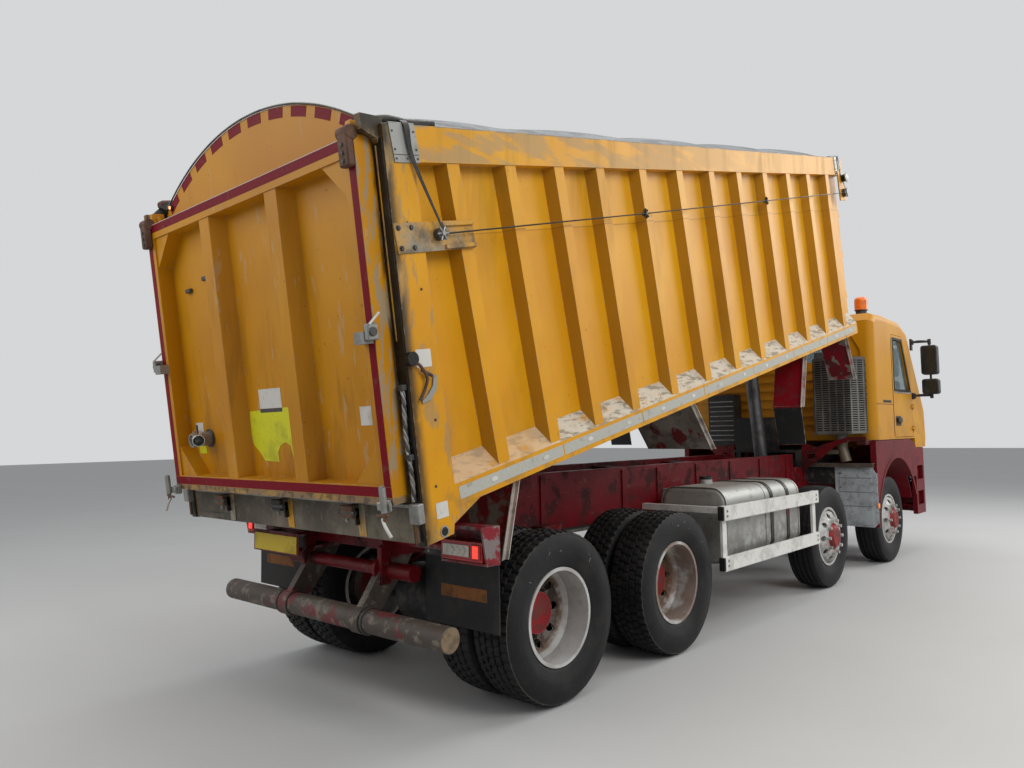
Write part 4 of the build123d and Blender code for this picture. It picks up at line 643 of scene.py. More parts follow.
class Piece:
    """One piece of the scene: solids gathered into a mesh, each with its material.

    Places are local to matrix and written for the left side; hand -1 mirrors them to the right.
    """

    def __init__(self, name, body, slot, matrix=TRUCK):
        self.name, self.body, self.slot, self.matrix = name, body, slot, matrix
        self.hand = 1
        self.points, self.faces, self.face_materials, self.materials = [], [], [], []

    def at(self, point):
        """A local point in the row frame."""
        x, y, z = point
        return self.matrix @ Vector((x, y * self.hand, z))

    def add(self, points, faces, material):
        """Take in a shell of row-frame points."""
        if material not in self.materials:
            self.materials.append(material)
        start = len(self.points)
        self.points.extend(tuple(p) for p in points)
        self.faces.extend(tuple(start + i for i in face) for face in faces)
        self.face_materials.extend([self.materials.index(material)] * len(faces))

    def box(self, x, y, z, material, edge=0.002):
        """A box with chamfered edges from its three spans."""
        spans = (sorted(x), sorted(y), sorted(z))
        edge = min([edge] + [(high - low) * 0.3 for low, high in spans])
        points, index = [], {}
        for corner in np.ndindex(2, 2, 2):
            for axis in range(3):
                index[corner, axis] = len(points)
                insets = [0 if k == axis else edge for k in range(3)]
                points.append(
                    [spans[k][1] - insets[k] if corner[k] else spans[k][0] + insets[k] for k in range(3)]
                )
        faces = []
        for axis in range(3):
            first, second = [k for k in range(3) if k != axis]
            for end in (0, 1):
                ring = []
                for a, b in ((0, 0), (1, 0), (1, 1), (0, 1)):
                    corner = [0, 0, 0]
                    corner[axis], corner[first], corner[second] = end, a, b
                    ring.append(index[tuple(corner), axis])
                flip = (end == 1) == (axis != 1)
                faces.append(tuple(ring) if flip else tuple(reversed(ring)))
            for a, b in ((0, 0), (1, 0), (1, 1), (0, 1)):
                near, far = [0, 0, 0], [0, 0, 0]
                near[first] = far[first] = a
                near[second] = far[second] = b
                far[axis] = 1
                near, far = tuple(near), tuple(far)
                faces.append((index[near, first], index[far, first], index[far, second], index[near, second]))
        for corner in np.ndindex(2, 2, 2):
            faces.append(tuple(index[corner, axis] for axis in range(3)))
        self.add([self.at(p) for p in points], faces, material)

    def rod(self, start, end, radius, material, sides=20, edge=0.0015, hollow=0.0, end_radius=None):
        """A round bar or tube between two points, with chamfered ends."""
        start, run = self.at(start), self.at(end) - self.at(start)
        turn = run.to_track_quat("Z", "Y").to_matrix()
        last = radius if end_radius is None else end_radius
        edge = min(edge, radius * 0.3, run.length * 0.3)
        section = [(radius - edge, 0), (radius, edge), (last, run.length - edge), (last - edge, run.length)]
        if hollow:
            section += [(hollow, run.length), (hollow, 0)]
        angles = [math.tau * k / sides for k in range(sides)]
        points = [start + turn @ Vector((*circle(r, angle), h)) for r, h in section for angle in angles]
        self.add(points, skin(len(section), sides, bool(hollow)), material)

    def slab(self, outline, depth, material, plane="xz", at=0.0):
        """A flat plate: its outline on a plane, and its depth along the plane's normal from at."""
        axes = {"xz": (0, 2, 1), "yz": (1, 2, 0), "xy": (0, 1, 2)}[plane]
        points = []
        for level in (at, at + depth):
            for u, v in outline:
                point = [0, 0, 0]
                point[axes[0]], point[axes[1]], point[axes[2]] = u, v, level
                points.append(self.at(point))
        count = len(outline)
        faces = [tuple(range(count)), tuple(reversed(range(count, 2 * count)))]
        for k in range(count):
            after = (k + 1) % count
            faces.append((k, k + count, after + count, after))
        self.add(points, faces, material)

    def frame_plate(self, outer, inner, depth, material, plane="xz", at=0.0):
        """A flat frame between two outlines of as many points each."""
        for k in range(len(outer)):
            after = (k + 1) % len(outer)
            self.slab([outer[k], outer[after], inner[after], inner[k]], depth, material, plane, at)

    def turned(self, section, centre, material, sides=48):
        """A ring turned about the truck's cross axis through centre, from (distance along, radius) points."""
        turn = left.to_track_quat("Z", "Y").to_matrix()
        centre = self.at(centre)
        angles = [math.tau * k / sides for k in range(sides)]
        points = [
            centre + turn @ Vector((*circle(radius, angle), along * self.hand))
            for along, radius in section
            for angle in angles
        ]
        self.add(points, skin(len(section), sides, True), material)

    def bolt(self, place, out, material, size=0.012):
        """A hexagon head on a washer, standing out along a direction."""
        place, out = Vector(place), Vector(out).normalized()
        self.rod(place, place + out * size * 0.2, size * 1.25, material, 16, 0.0004)
        self.rod(place + out * size * 0.2, place + out * size * 0.8, size, material, 6, 0.001)

    def hose(self, route, radius, material, sides=12, steps=10):
        """A round hose along a smooth curve through the points of its route."""
        way = smooth_route([self.at(p) for p in route], steps)
        points = []
        normal = Vector((0, 0, 1))
        for k, place in enumerate(way):
            ahead = (way[min(k + 1, len(way) - 1)] - way[max(k - 1, 0)]).normalized()
            across = ahead.cross(normal)
            if across.length < 0.1:
                across = ahead.cross(Vector((1, 0, 0)))
            across.normalize()
            normal = across.cross(ahead).normalized()
            for j in range(sides):
                aside, up = circle(radius, math.tau * j / sides)
                points.append(place + across * aside + normal * up)
        self.add(points, skin(len(way), sides), material)

    def strap(self, route, width, end_width, thick, material):
        """A flat strap along a smooth route, its width along the body, gathered towards its end."""
        way = smooth_route([self.at(p) for p in route], 8)
        side_way = (self.matrix.to_3x3() @ Vector((1, 0, 0))).normalized()
        points = []
        for k, place in enumerate(way):
            ahead = (way[min(k + 1, len(way) - 1)] - way[max(k - 1, 0)]).normalized()
            out = ahead.cross(side_way).normalized()
            share = max(0.0, k / (len(way) - 1) * 2 - 0.7) / 1.3
            half = (width + (end_width - width) * share) / 2
            for across, lift in ((-1, 0), (1, 0), (1, 1), (-1, 1)):
                points.append(place + side_way * across * half + out * lift * thick)
        self.add(points, skin(len(way), 4), material)

    def done(self, sharp_angle=38, replaced=None):
        """Make the object, with every closed shell's faces turned outward, and hand it over."""
        mesh = bpy.data.meshes.new(self.name)
        mesh.from_pydata(self.points, [], self.faces)
        for material in self.materials:
            mesh.materials.append(MAT[material])
        mesh.polygons.foreach_set("material_index", self.face_materials)
        mesh.polygons.foreach_set("use_smooth", [True] * len(self.faces))
        if sharp_angle:
            mesh.set_sharp_from_angle(angle=math.radians(sharp_angle))
        mesh.update()
        shell = bmesh.new()
        shell.from_mesh(mesh)
        bmesh.ops.recalc_face_normals(shell, faces=shell.faces)
        shell.to_mesh(mesh)
        shell.free()
        obj = link(bpy.data.objects.new(self.name, mesh))
        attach(obj, self.body)
        if replaced:
            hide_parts(replaced)
        return obj


def make_stage():
    """A pale floor, a pale sky that only the camera and gloss see, and soft lamps."""
    size = 60
    mesh = bpy.data.meshes.new("floor")
    mesh.from_pydata(
        [(-size, -size, 0), (size, -size, 0), (size, size, 0), (-size, size, 0)], [], [(0, 1, 2, 3)]
    )
    floor = link(bpy.data.objects.new("floor", mesh))
    s = Surface("pale_floor", "B9B9B7", 0.6)
    s.layer("ADADAB", None, s.noise(0.6, 0.35, 0.7), 0.25)
    mesh.materials.append(s.material)
    world = bpy.data.worlds.new("world")
    bpy.context.scene.world = world
    world.use_nodes = True
    nodes, links = world.node_tree.nodes, world.node_tree.links
    back = nodes["Background"]
    back.inputs["Color"].default_value = (0.93, 0.95, 1.0, 1.0)
    back.inputs["Strength"].default_value = 0.42
    seen = nodes.new("ShaderNodeBackground")
    seen.inputs["Color"].default_value = (0.86, 0.87, 0.88, 1.0)
    seen.inputs["Strength"].default_value = 0.78
    paths = nodes.new("ShaderNodeLightPath")
    shown = paths.outputs["Is Camera Ray"]
    for ray in ("Is Glossy Ray", "Is Transmission Ray"):
        either = nodes.new("ShaderNodeMath")
        either.operation = "MAXIMUM"
        links.new(shown, either.inputs[0])
        links.new(paths.outputs[ray], either.inputs[1])
        shown = either.outputs[0]
    mix = nodes.new("ShaderNodeMixShader")
    links.new(shown, mix.inputs["Fac"])
    links.new(back.outputs[0], mix.inputs[1])
    links.new(seen.outputs[0], mix.inputs[2])
    links.new(mix.outputs[0], nodes["World Output"].inputs["Surface"])
    lamps = (
        # name, place, aim, size, power
        ("key", (-3.5, -10.5, 8.5), (0, 0, 1.8), 6.0, 700),
        ("front", (9.0, -6.0, 7.0), (1.5, 0, 1.5), 6.0, 560),
        ("top", (0, 0, 11.0), (0, 0, 1), 8.0, 560),
        ("behind", (-9.5, 3.0, 6.0), (-2, 0, 2), 6.0, 260),
    )
    for name, place, aim, width, power in lamps:
        data = bpy.data.lights.new(name, "AREA")
        data.size = width
        data.energy = power
        lamp = link(bpy.data.objects.new(name, data))
        lamp.location = place
        lamp.rotation_euler = (Vector(aim) - Vector(place)).to_track_quat("-Z", "Y").to_euler()
    bpy.context.scene.view_settings.view_transform = "Standard"


def body_details():
    """Reflective tape along the bottom rails, in lengths, each with two small pale ovals that are painted
    reflections.
    """
    piece = Piece("body_trim", "bed", "sill_grey", BED)
    thick = 0.0015
    turns = [math.tau * k / 16 for k in range(16)]
    for piece.hand in (-1, 1):
        at, end, length = -0.14, 6.16, 0.9
        while at < end:
            stop = min(at + length, end)
            piece.box((at, stop - 0.012), (half_width, half_width + thick), (0.112, 0.178), "silver_tape")
            # Two pale ovals on each length: painted reflections on the tape
            for share in (0.3, 0.8):
                middle = at + (stop - at) * share
                oval = [(middle + 0.026 * math.cos(turn), 0.146 + 0.013 * math.sin(turn)) for turn in turns]
                piece.slab(oval, 0.002, "label", "xz", half_width + thick)
            at = stop
    piece.done()


def gate_details():
    """Maroon tape on the gate's frame, and a pale line above it."""
    piece = Piece("tailgate_trim", "gate", "body_yellow", GATE)
    back = -0.118  # of the frame
    tape_depth = (back - 0.0015, back)
    for up in ((0.262, 0.312), (1.975, 2.025)):
        piece.box(tape_depth, (-1.17, 1.17), up, "red_tape")
    for piece.hand in (-1, 1):
        piece.box(tape_depth, (1.118, 1.168), (0.314, 1.973), "red_tape")
    piece.box((back - 0.001, back), (-1.165, 1.165), (2.0255, 2.029), "label")
    piece.done()


def sheet_board_details():
    """Maroon dashes round the arched board, and the dark and pale lines of its edge."""
    piece = Piece("arch_trim", "bed", "body_yellow", GATE)
    half_chord, rise, foot = 1.12, 0.33, 2.12
    radius = (half_chord**2 + rise**2) / (2 * rise)
    centre_up = foot + rise - radius
    reach = math.asin(half_chord / radius)
    dashes, steps, edge_steps = 10, 6, 48
    for k in range(dashes):
        middle = reach * (2 * (k + 0.5) / dashes - 1) * 0.985
        half = reach / dashes * 0.62
        outline = []
        for r, order in ((radius - 0.005, 1), (radius - 0.062, -1)):
            for j in range(steps + 1):
                up, y = circle(r, middle + order * half * (2 * j / steps - 1))
                outline.append((y, centre_up + up))
        piece.slab(outline, -0.0018, "red_tape", "yz", 0.010)
    for step in range(edge_steps):
        ends = [reach * (2 * (step + more) / edge_steps - 1) for more in (0, 1)]
        for r, thick, material in ((radius + 0.004, 0.005, "dark_steel"), (radius + 0.010, 0.003, "label")):
            start, end = [(0.004, r * math.sin(angle), centre_up + r * math.cos(angle)) for angle in ends]
            piece.rod(start, end, thick, material, 8)
    piece.done()


def tyre_rings():
    """The tyre's section: (along the axle, radius, how much of a block's groove applies)."""
    wall = [
        (0.104, 0.290), (0.108, 0.300), (0.121, 0.316), (0.1225, 0.321), (0.133, 0.345), (0.1425, 0.374),
        (0.1468, 0.398), (0.1462, 0.402), (0.1468, 0.406), (0.1450, 0.436), (0.139, 0.466), (0.1335, 0.486),
        (0.1300, 0.494), (0.1310, 0.496), (0.1290, 0.503),
    ]
    tread_edge, crown, crown_drop = 0.1235, 0.5195, 0.011
    groove_depth, groove_half, groove_foot = 0.013, 0.0075, 0.0045
    ring = [(y, r, 0.0) for y, r in wall]
    tread = [(tread_edge, 0, 1.0), (0.108, 0, 1.0), (0.095, 0, 1.0)]
    for centre in (0.076, 0.027, -0.027, -0.076):
        tread += [
            (centre + groove_half, 0, 1.0),
            (centre + groove_foot, groove_depth, 0.0),
            (centre - groove_foot, groove_depth, 0.0),
            (centre - groove_half, 0, 1.0),
        ]
        if centre > -0.07:
            tread.append((centre - 0.0245, 0, 1.0))
    tread += [(-0.095, 0, 1.0), (-0.108, 0, 1.0), (-tread_edge, 0, 1.0)]
    ring += [(y, crown - crown_drop * (y / tread_edge) ** 2 - drop, cut) for y, drop, cut in tread]
    return ring + [(-y, r, 0.0) for y, r in reversed(wall)]


def make_tyre(name, body, node, axle, centres, groove):
    """The tyres of one wheel with a block tread, replacing their node."""
    ring = tyre_rings()
    pitches, per_pitch = 56, 4
    count = pitches * per_pitch
    piece = Piece(name, body, "tyre_rubber")
    for centre in centres:
        points = []
        for step in range(count):
            for y, r, cut in ring:
                # The cross grooves of the shoulder, the lanes and the middle are offset from each other
                shift = 0 if abs(y) > 0.08 else (per_pitch // 2 if abs(y) > 0.03 else 1)
                deep = groove if cut and (step + shift) % per_pitch == 0 else 0.0
                x, z = circle(r - deep, step * math.tau / count)
                points.append((axle_x[axle] + x, centre + y, hub_z + z))
        piece.add(points, skin(count, len(ring), True), "tyre")
    piece.done(32, node)


def make_tyres():
    for side, hand in (("right", -1), ("left", 1)):
        for axle in (3, 4):
            twins = (hand * twin_outer_y, hand * twin_inner_y)
            make_tyre(
                f"tread_{axle}_{side}", f"wheels_{axle}_{side}", f"tyres_{axle}_{side}", axle, twins, 0.011
            )
        for axle in (1, 2):
            single = (hand * front_tyre_y,)
            make_tyre(
                f"tread_{axle}_{side}", f"wheel_{axle}_{side}", f"tyre_{axle}_{side}", axle, single, 0.004
            )


def make_cover():
    """The load cover: cloth over the bows, sagging a little between them."""
    chord, rise, foot, thick = 1.12, 0.33, 2.0385, 0.0035
    radius = (chord**2 + rise**2) / (2 * rise)
    reach = math.asin(chord / radius)
    rear, front = -0.112, 6.272
    along_steps, across_steps = 150, 60
    rest = [rear] + [a + 0.02 for a in (0.7, 2.08, 3.46, 4.84, 6.2)]

    def sag(a, t):
        """How far the cloth hangs below the line of the bows."""
        spans = [(low, high) for low, high in zip(rest, rest[1:] + [front]) if low <= a <= high]
        low, high = spans[0] if spans else (rest[-1], front)
        share = (a - low) / max(high - low, 0.01)
        hang = 0.022 * math.sin(math.pi * share) ** 2 * (1 - 0.35 * t * t) * min(1.0, (high - low) / 1.3)
        ripple = noise.noise(Vector((a * 2.1, t * 3.0, 0.3))) * 0.006
        pulls = math.sin(a * 9.0 + t * 5.0) * 0.0015 * abs(t)
        return max(hang + ripple + pulls, 0.0) * math.sin(math.pi * share) ** 0.5

    points, faces = [], []
    for layer in (0, 1):
        for i in range(along_steps + 1):
            a = rear + (front - rear) * i / along_steps
            for j in range(across_steps + 1):
                t = 2 * j / across_steps - 1
                up, y = circle(radius + thick - sag(a, t) - layer * thick, reach * t)
                points.append(BED @ Vector((a, y, foot + rise - radius + up)))
    row = across_steps + 1
    sheet = row * (along_steps + 1)
    for i in range(along_steps):
        for j in range(across_steps):
            a, b = i * row + j, (i + 1) * row + j
            faces.append((a, a + 1, b + 1, b))
            faces.append((sheet + a, sheet + b, sheet + b + 1, sheet + a + 1))
    rim = list(range(row)) + [i * row + across_steps for i in range(1, along_steps + 1)]
    rim += [along_steps * row + j for j in range(across_steps - 1, -1, -1)]
    rim += [i * row for i in range(along_steps - 1, 0, -1)]
    faces += [(a, sheet + a, sheet + b, b) for a, b in zip(rim, rim[1:] + rim[:1])]
    piece = Piece("load_cover", "bed", "sheet_grey")
    piece.add(points, faces, "cloth")
    obj = piece.done(None, "load_sheet")


def oblong(low, high):
    """A rectangle's outline between two corners."""
    return [low, (high[0], low[1]), high, (low[0], high[1])]


def gate_hardware():
    """Hinge housings, side clamps, spout, handles, the torn blank sign and blank labels."""
    piece = Piece("tailgate_hardware", "gate", "sill_grey", GATE)
    for piece.hand in (-1, 1):
        # Brown roller housing over each end of the top beam
        piece.box((-0.163, -0.119), (1.098, 1.178), (1.875, 2.035), "rust", 0.008)
        piece.rod((-0.128, 1.094, 2.038), (-0.128, 1.182, 2.038), 0.036, "rust", 24)
        for up in (1.90, 1.94, 1.98):
            piece.bolt((-0.163, 1.138, up), (-1, 0, 0), "dark_steel", 0.009)
        # Clamp block on the frame's side at mid height
        piece.box((-0.176, -0.110), (1.166, 1.2), (1.035, 1.115), "steel", 0.006)
        piece.rod((-0.150, 1.165, 1.075), (-0.150, 1.212, 1.075), 0.022, "dark_steel")
        piece.rod((-0.168, 1.204, 1.110), (-0.105, 1.208, 1.165), 0.006, "label")
        # Screw clamp with a bent handle at the bottom corner
        piece.box((-0.150, -0.119), (1.100, 1.165), (0.195, 0.255), "steel", 0.006)
        piece.box((-0.166, -0.150), (1.100, 1.205), (0.205, 0.247), "steel", 0.008)
        piece.rod((-0.178, 1.175, 0.200), (-0.178, 1.175, 0.325), 0.017, "steel")
        piece.rod((-0.178, 1.175, 0.325), (-0.178, 1.175, 0.334), 0.017, "steel", 20, 0.006, 0.0, 0.008)
        piece.rod((-0.178, 1.203, 0.192), (-0.178, 1.105, 0.182), 0.007, "rust")
        piece.rod((-0.178, 1.175, 0.160), (-0.178, 1.175, 0.202), 0.011, "rust")
        handle = [
            (-0.178, 1.155, 0.172), (-0.186, 1.172, 0.150),
            (-0.190, 1.196, 0.120), (-0.190, 1.222, 0.088),
        ]
        piece.hose(handle, 0.0085, "label")
    # Spout with its lever, left of the ribs
    piece.rod((-0.015, 0.82, 0.56), (-0.024, 0.82, 0.56), 0.062, "dark_steel", 28)
    piece.rod((-0.05, 0.93, 0.585), (-0.155, 0.70, 0.560), 0.038, "chrome", 28, hollow=0.034)
    piece.rod((-0.05, 0.93, 0.585), (-0.052, 0.927, 0.585), 0.034, "grease", 28)
    piece.rod((-0.120, 0.775, 0.59), (-0.120, 0.775, 0.66), 0.006, "dark_steel")
    # Small handles on the skin
    for y, up in ((0.86, 1.55), (0.62, 1.60)):
        piece.box((-0.036, -0.014), (y - 0.035, y + 0.035), (up - 0.014, up + 0.014), "dark_steel", 0.005)
    # Torn blank sign and blank labels, on the skin
    skin_x = -0.0142
    sign = [
        (0.270, 0.720), (0.278, 0.575), (0.262, 0.512), (0.205, 0.470), (0.150, 0.415),
        (-0.008, 0.408), (-0.005, 0.465), (-0.040, 0.507), (-0.100, 0.528), (-0.152, 0.505),
        (-0.168, 0.435), (-0.180, 0.398), (-0.272, 0.395), (-0.262, 0.735),
    ]
    piece.slab(sign, -0.0015, "sign", "yz", skin_x)
    for low, high, material in (
        ((-0.105, 0.708), (0.141, 0.731), "dark_steel"),
        ((-0.105, 0.732), (0.141, 0.85), "label"),
        ((-1.06, 0.61), (-0.85, 0.71), "label"),
        ((0.90, 0.575), (1.00, 0.665), "label"),
        ((0.89, 0.455), (0.99, 0.565), "sign"),
    ):
        piece.slab(oblong(low, high), -0.002, material, "yz", skin_x)
    piece.done()


def post_hardware():
    """The greased joint at the rear posts, its rods, catches and labels, riding on the body."""
    piece = Piece("post_hardware", "bed", "sill_grey", GATE)
    for piece.hand in (-1, 1):
        face = half_width
        # Greased seal on the post's rear face, and the catch rod that runs down it
        piece.box((-0.006, 0.003), (1.183, 1.244), (0.0, 2.01), "grease")
        for strand in range(3):
            route = []
            for k in range(41):
                x, y = circle(0.0062, k * 0.8 + strand * math.tau / 3)
                route.append((-0.022 + x, 1.213 + 0.006 * math.sin(k * 0.21) + y, 0.225 + k * 0.0141))
            piece.hose(route, 0.0065, "steel" if strand else "dark_steel", 7, 2)
        piece.rod((-0.022, 1.215, 0.02), (-0.022, 1.215, 0.115), 0.010, "rust")
        piece.box((-0.045, 0.0), (1.19, 1.262), (0.115, 0.215), "steel", 0.005)
        piece.rod((-0.008, 1.200, 1.02), (-0.008, 1.200, 1.98), 0.004, "worn_yellow")
        for up in (0.43, 0.775):
            piece.box((-0.036, -0.004), (1.195, 1.235), (up, up + 0.03), "dark_steel", 0.003)
        # Catch shaft at mid height with its bent hooks
        piece.rod((0.02, face, 0.926), (0.02, face + 0.030, 0.926), 0.036, "grease")
        hook = [
            (0.03, face + 0.022, 0.915), (0.070, face + 0.024, 0.880), (0.100, face + 0.022, 0.825),
            (0.080, face + 0.02, 0.77), (0.045, face + 0.018, 0.72),
        ]
        piece.hose(hook, 0.008, "rust")
        blade = [
            (0.155, 0.835), (0.145, 0.785), (0.11, 0.745), (0.065, 0.715), (0.065, 0.700),
            (0.12, 0.715), (0.165, 0.760), (0.178, 0.835),
        ]
        piece.slab(blade, 0.007, "steel", "xz", face + 0.004)
        piece.rod((0.070, face + 0.02, 0.868), (0.135, face + 0.02, 0.835), 0.009, "rust")
        # Blank labels, and the round lifting hole at the foot: a steel ring round a dark disc that is painted
        # shade in the hole
        for low, high in (((0.060, 0.880), (0.160, 0.970)), ((0.085, 0.115), (0.165, 0.195))):
            piece.slab(oblong(low, high), 0.0015, "label", "xz", face)
        piece.rod((0.125, face + 0.001, 0.045), (0.125, face + 0.003, 0.045), 0.030, "steel", 28)
        piece.rod((0.125, face + 0.003, 0.045), (0.125, face + 0.0035, 0.045), 0.022, "grease", 28)
        # Bolt heads down the post
        for k in (0, 1, 3, 4):
            piece.bolt((0.10 + 0.045 * (k % 2), face, 0.28 + 0.33 * k), (0, 1, 0), "dark_steel", 0.006)
        # Lamp at each end of the arched board
        piece.rod((0.009, 1.03, 2.142), (-0.006, 1.03, 2.142), 0.018, "dark_steel")
        piece.rod((-0.006, 1.03, 2.142), (-0.011, 1.03, 2.142), 0.011, "warm_lens")
    # Seam down the middle of the sill and its latch brackets
    for y in (-0.70, 0.0, 0.70):
        piece.box((-0.004, -0.0005), (y - 0.075, y - 0.01), (0.012, 0.185), "worn_yellow")
        piece.box((-0.030, -0.004), (y - 0.030, y - 0.018), (0.075, 0.17), "seal")
        piece.box((-0.070, -0.046), (y - 0.05, y + 0.05), (0.125, 0.19), "rust" if y else "seal", 0.005)
        piece.rod((-0.058, y - 0.07, 0.150), (-0.058, y + 0.07, 0.150), 0.013, "dark_steel")
        piece.bolt((-0.001, y + 0.09, 0.09), (-1, 0, 0), "steel", 0.011)
    piece.box((-0.004, -0.0005), (-1.16, 1.16), (0.186, 0.203), "steel")
    piece.box((-0.003, -0.0005), (0.62, 1.05), (0.045, 0.052), "dark_steel")
    piece.done()


def sheet_gear():
    """The sheet's pull cable along the right side, its pulleys, guides, flaps and straps."""
    piece = Piece("sheet_gear", "bed", "sill_grey", BED)
    plate_y, cable_y, pulley_y = -1.2585, -1.276, -1.284
    rear, front = (0.020, pulley_y, 1.470), (6.240, pulley_y, 1.640)
    guides = ((2.05, 1.523), (4.14, 1.582))
    route = [rear] + [(a, cable_y, h) for a, h in guides] + [front]
    for start, end in zip(route, route[1:]):
        piece.rod(start, end, 0.0045, "grease", 8)
    for a, h in guides:
        for turn in range(4):
            aside, up = circle(0.036, math.pi * turn / 4)
            piece.rod((a - aside, cable_y, h - up), (a + aside, cable_y, h + up), 0.006, "grease", 8)
        piece.rod((a, -1.245, h), (a, -1.285, h), 0.013, "dark_steel")
    # Pulleys with star caps on the bracket plates
    for (a, _, h), radius in ((rear, 0.032), (front, 0.045)):
        piece.rod((a, -1.262, h), (a, -1.300, h), radius, "dark_steel", 28)
        piece.rod((a, -1.300, h), (a, -1.312, h), radius * 0.45, "steel", 6)
        for k in range(3):
            reach = Vector((math.cos(math.pi * k / 3), 0, math.sin(math.pi * k / 3))) * radius * 1.25
            middle = Vector((a, -1.302, h))
            piece.rod(middle - reach, middle + reach, 0.005, "steel", 8)
    for a in (-0.235, -0.15):
        for h in (1.415, 1.515):
            piece.bolt((a, plate_y, h), (0, -1, 0), "dark_steel", 0.011)
    # Ledges of the channel that the cable leaves through
    for h in (1.395, 1.512):
        piece.box((0.06, 0.288), (plate_y, -1.272), (h, h + 0.022), "worn_yellow", 0.002)
    # Riveted flaps folded over the top rail, and the black straps over them
    for a, strap_foot in ((-0.10, (0.020, 1.470)), (6.18, (6.22, 1.66))):
        flap, flap_y = (a - 0.075, a + 0.095), -1.256
        for heights in ((1.875, 2.030), (1.835, 1.873)):
            piece.box(flap, (-1.2505, flap_y), heights, "steel", 0.002)
        piece.box(flap, (flap_y, -1.15), (2.0285, 2.034), "steel", 0.002)
        for b, h in (*((b, h) for h in (1.99, 1.90, 1.855) for b in (-0.06, 0.08)), (0.01, 1.855)):
            piece.rod((a + b, flap_y, h), (a + b, -1.259, h), 0.006, "dark_steel", 12)
        strap = [
            (a + 0.03, -1.12, 2.062), (a + 0.03, -1.21, 2.052), (a + 0.032, -1.262, 2.02),
            (a + 0.035, -1.266, 1.85), (strap_foot[0], -1.300, strap_foot[1] + 0.03),
        ]
        piece.strap(strap, 0.046, 0.013, 0.003, "grease")
    # Winch at the front: yellow cheek, drum and crank
    cheek = [(6.14, 1.56), (6.33, 1.56), (6.33, 1.72), (6.25, 1.88), (6.14, 1.88)]
    piece.slab(cheek, -0.006, "body", "xz", -1.2588)
    piece.rod((6.27, -1.265, 1.80), (6.27, -1.305, 1.80), 0.040, "grease", 24)
    piece.rod((6.27, -1.305, 1.80), (6.27, -1.315, 1.80), 0.052, "steel", 24)
    # Gathered end of the sheet on the left, with its maroon roller box
    bends = ((-0.05, 0, -0.03), (0.02, 0.012, 0.01), (0.12, -0.01, -0.012), (0.22, 0, -0.03))
    for a, y, h, r in (
        (-0.20, 1.155, 2.07, 0.048), (-0.235, 1.205, 2.045, 0.036),
        (-0.13, 1.185, 2.095, 0.042), (-0.17, 1.13, 2.11, 0.035),
    ):
        piece.hose([(a + da, y + dy, h + dh) for da, dy, dh in bends], r, "seal")
    piece.rod((-0.268, 1.205, 2.02), (-0.25, 1.205, 2.025), 0.030, "dark_steel", 24, hollow=0.022)
    piece.box((-0.215, -0.10), (1.135, 1.215), (2.115, 2.165), "maroon", 0.012)
    piece.box((-0.255, -0.215), (1.165, 1.24), (1.93, 1.985), "steel", 0.008)
    # The bunched end of the sheet on the right
    bundle = [(-0.24, -1.16, 2.055), (-0.12, -1.185, 2.065), (0.02, -1.18, 2.055), (0.2, -1.175, 2.06)]
    piece.hose(bundle, 0.024, "grease")
    piece.done()


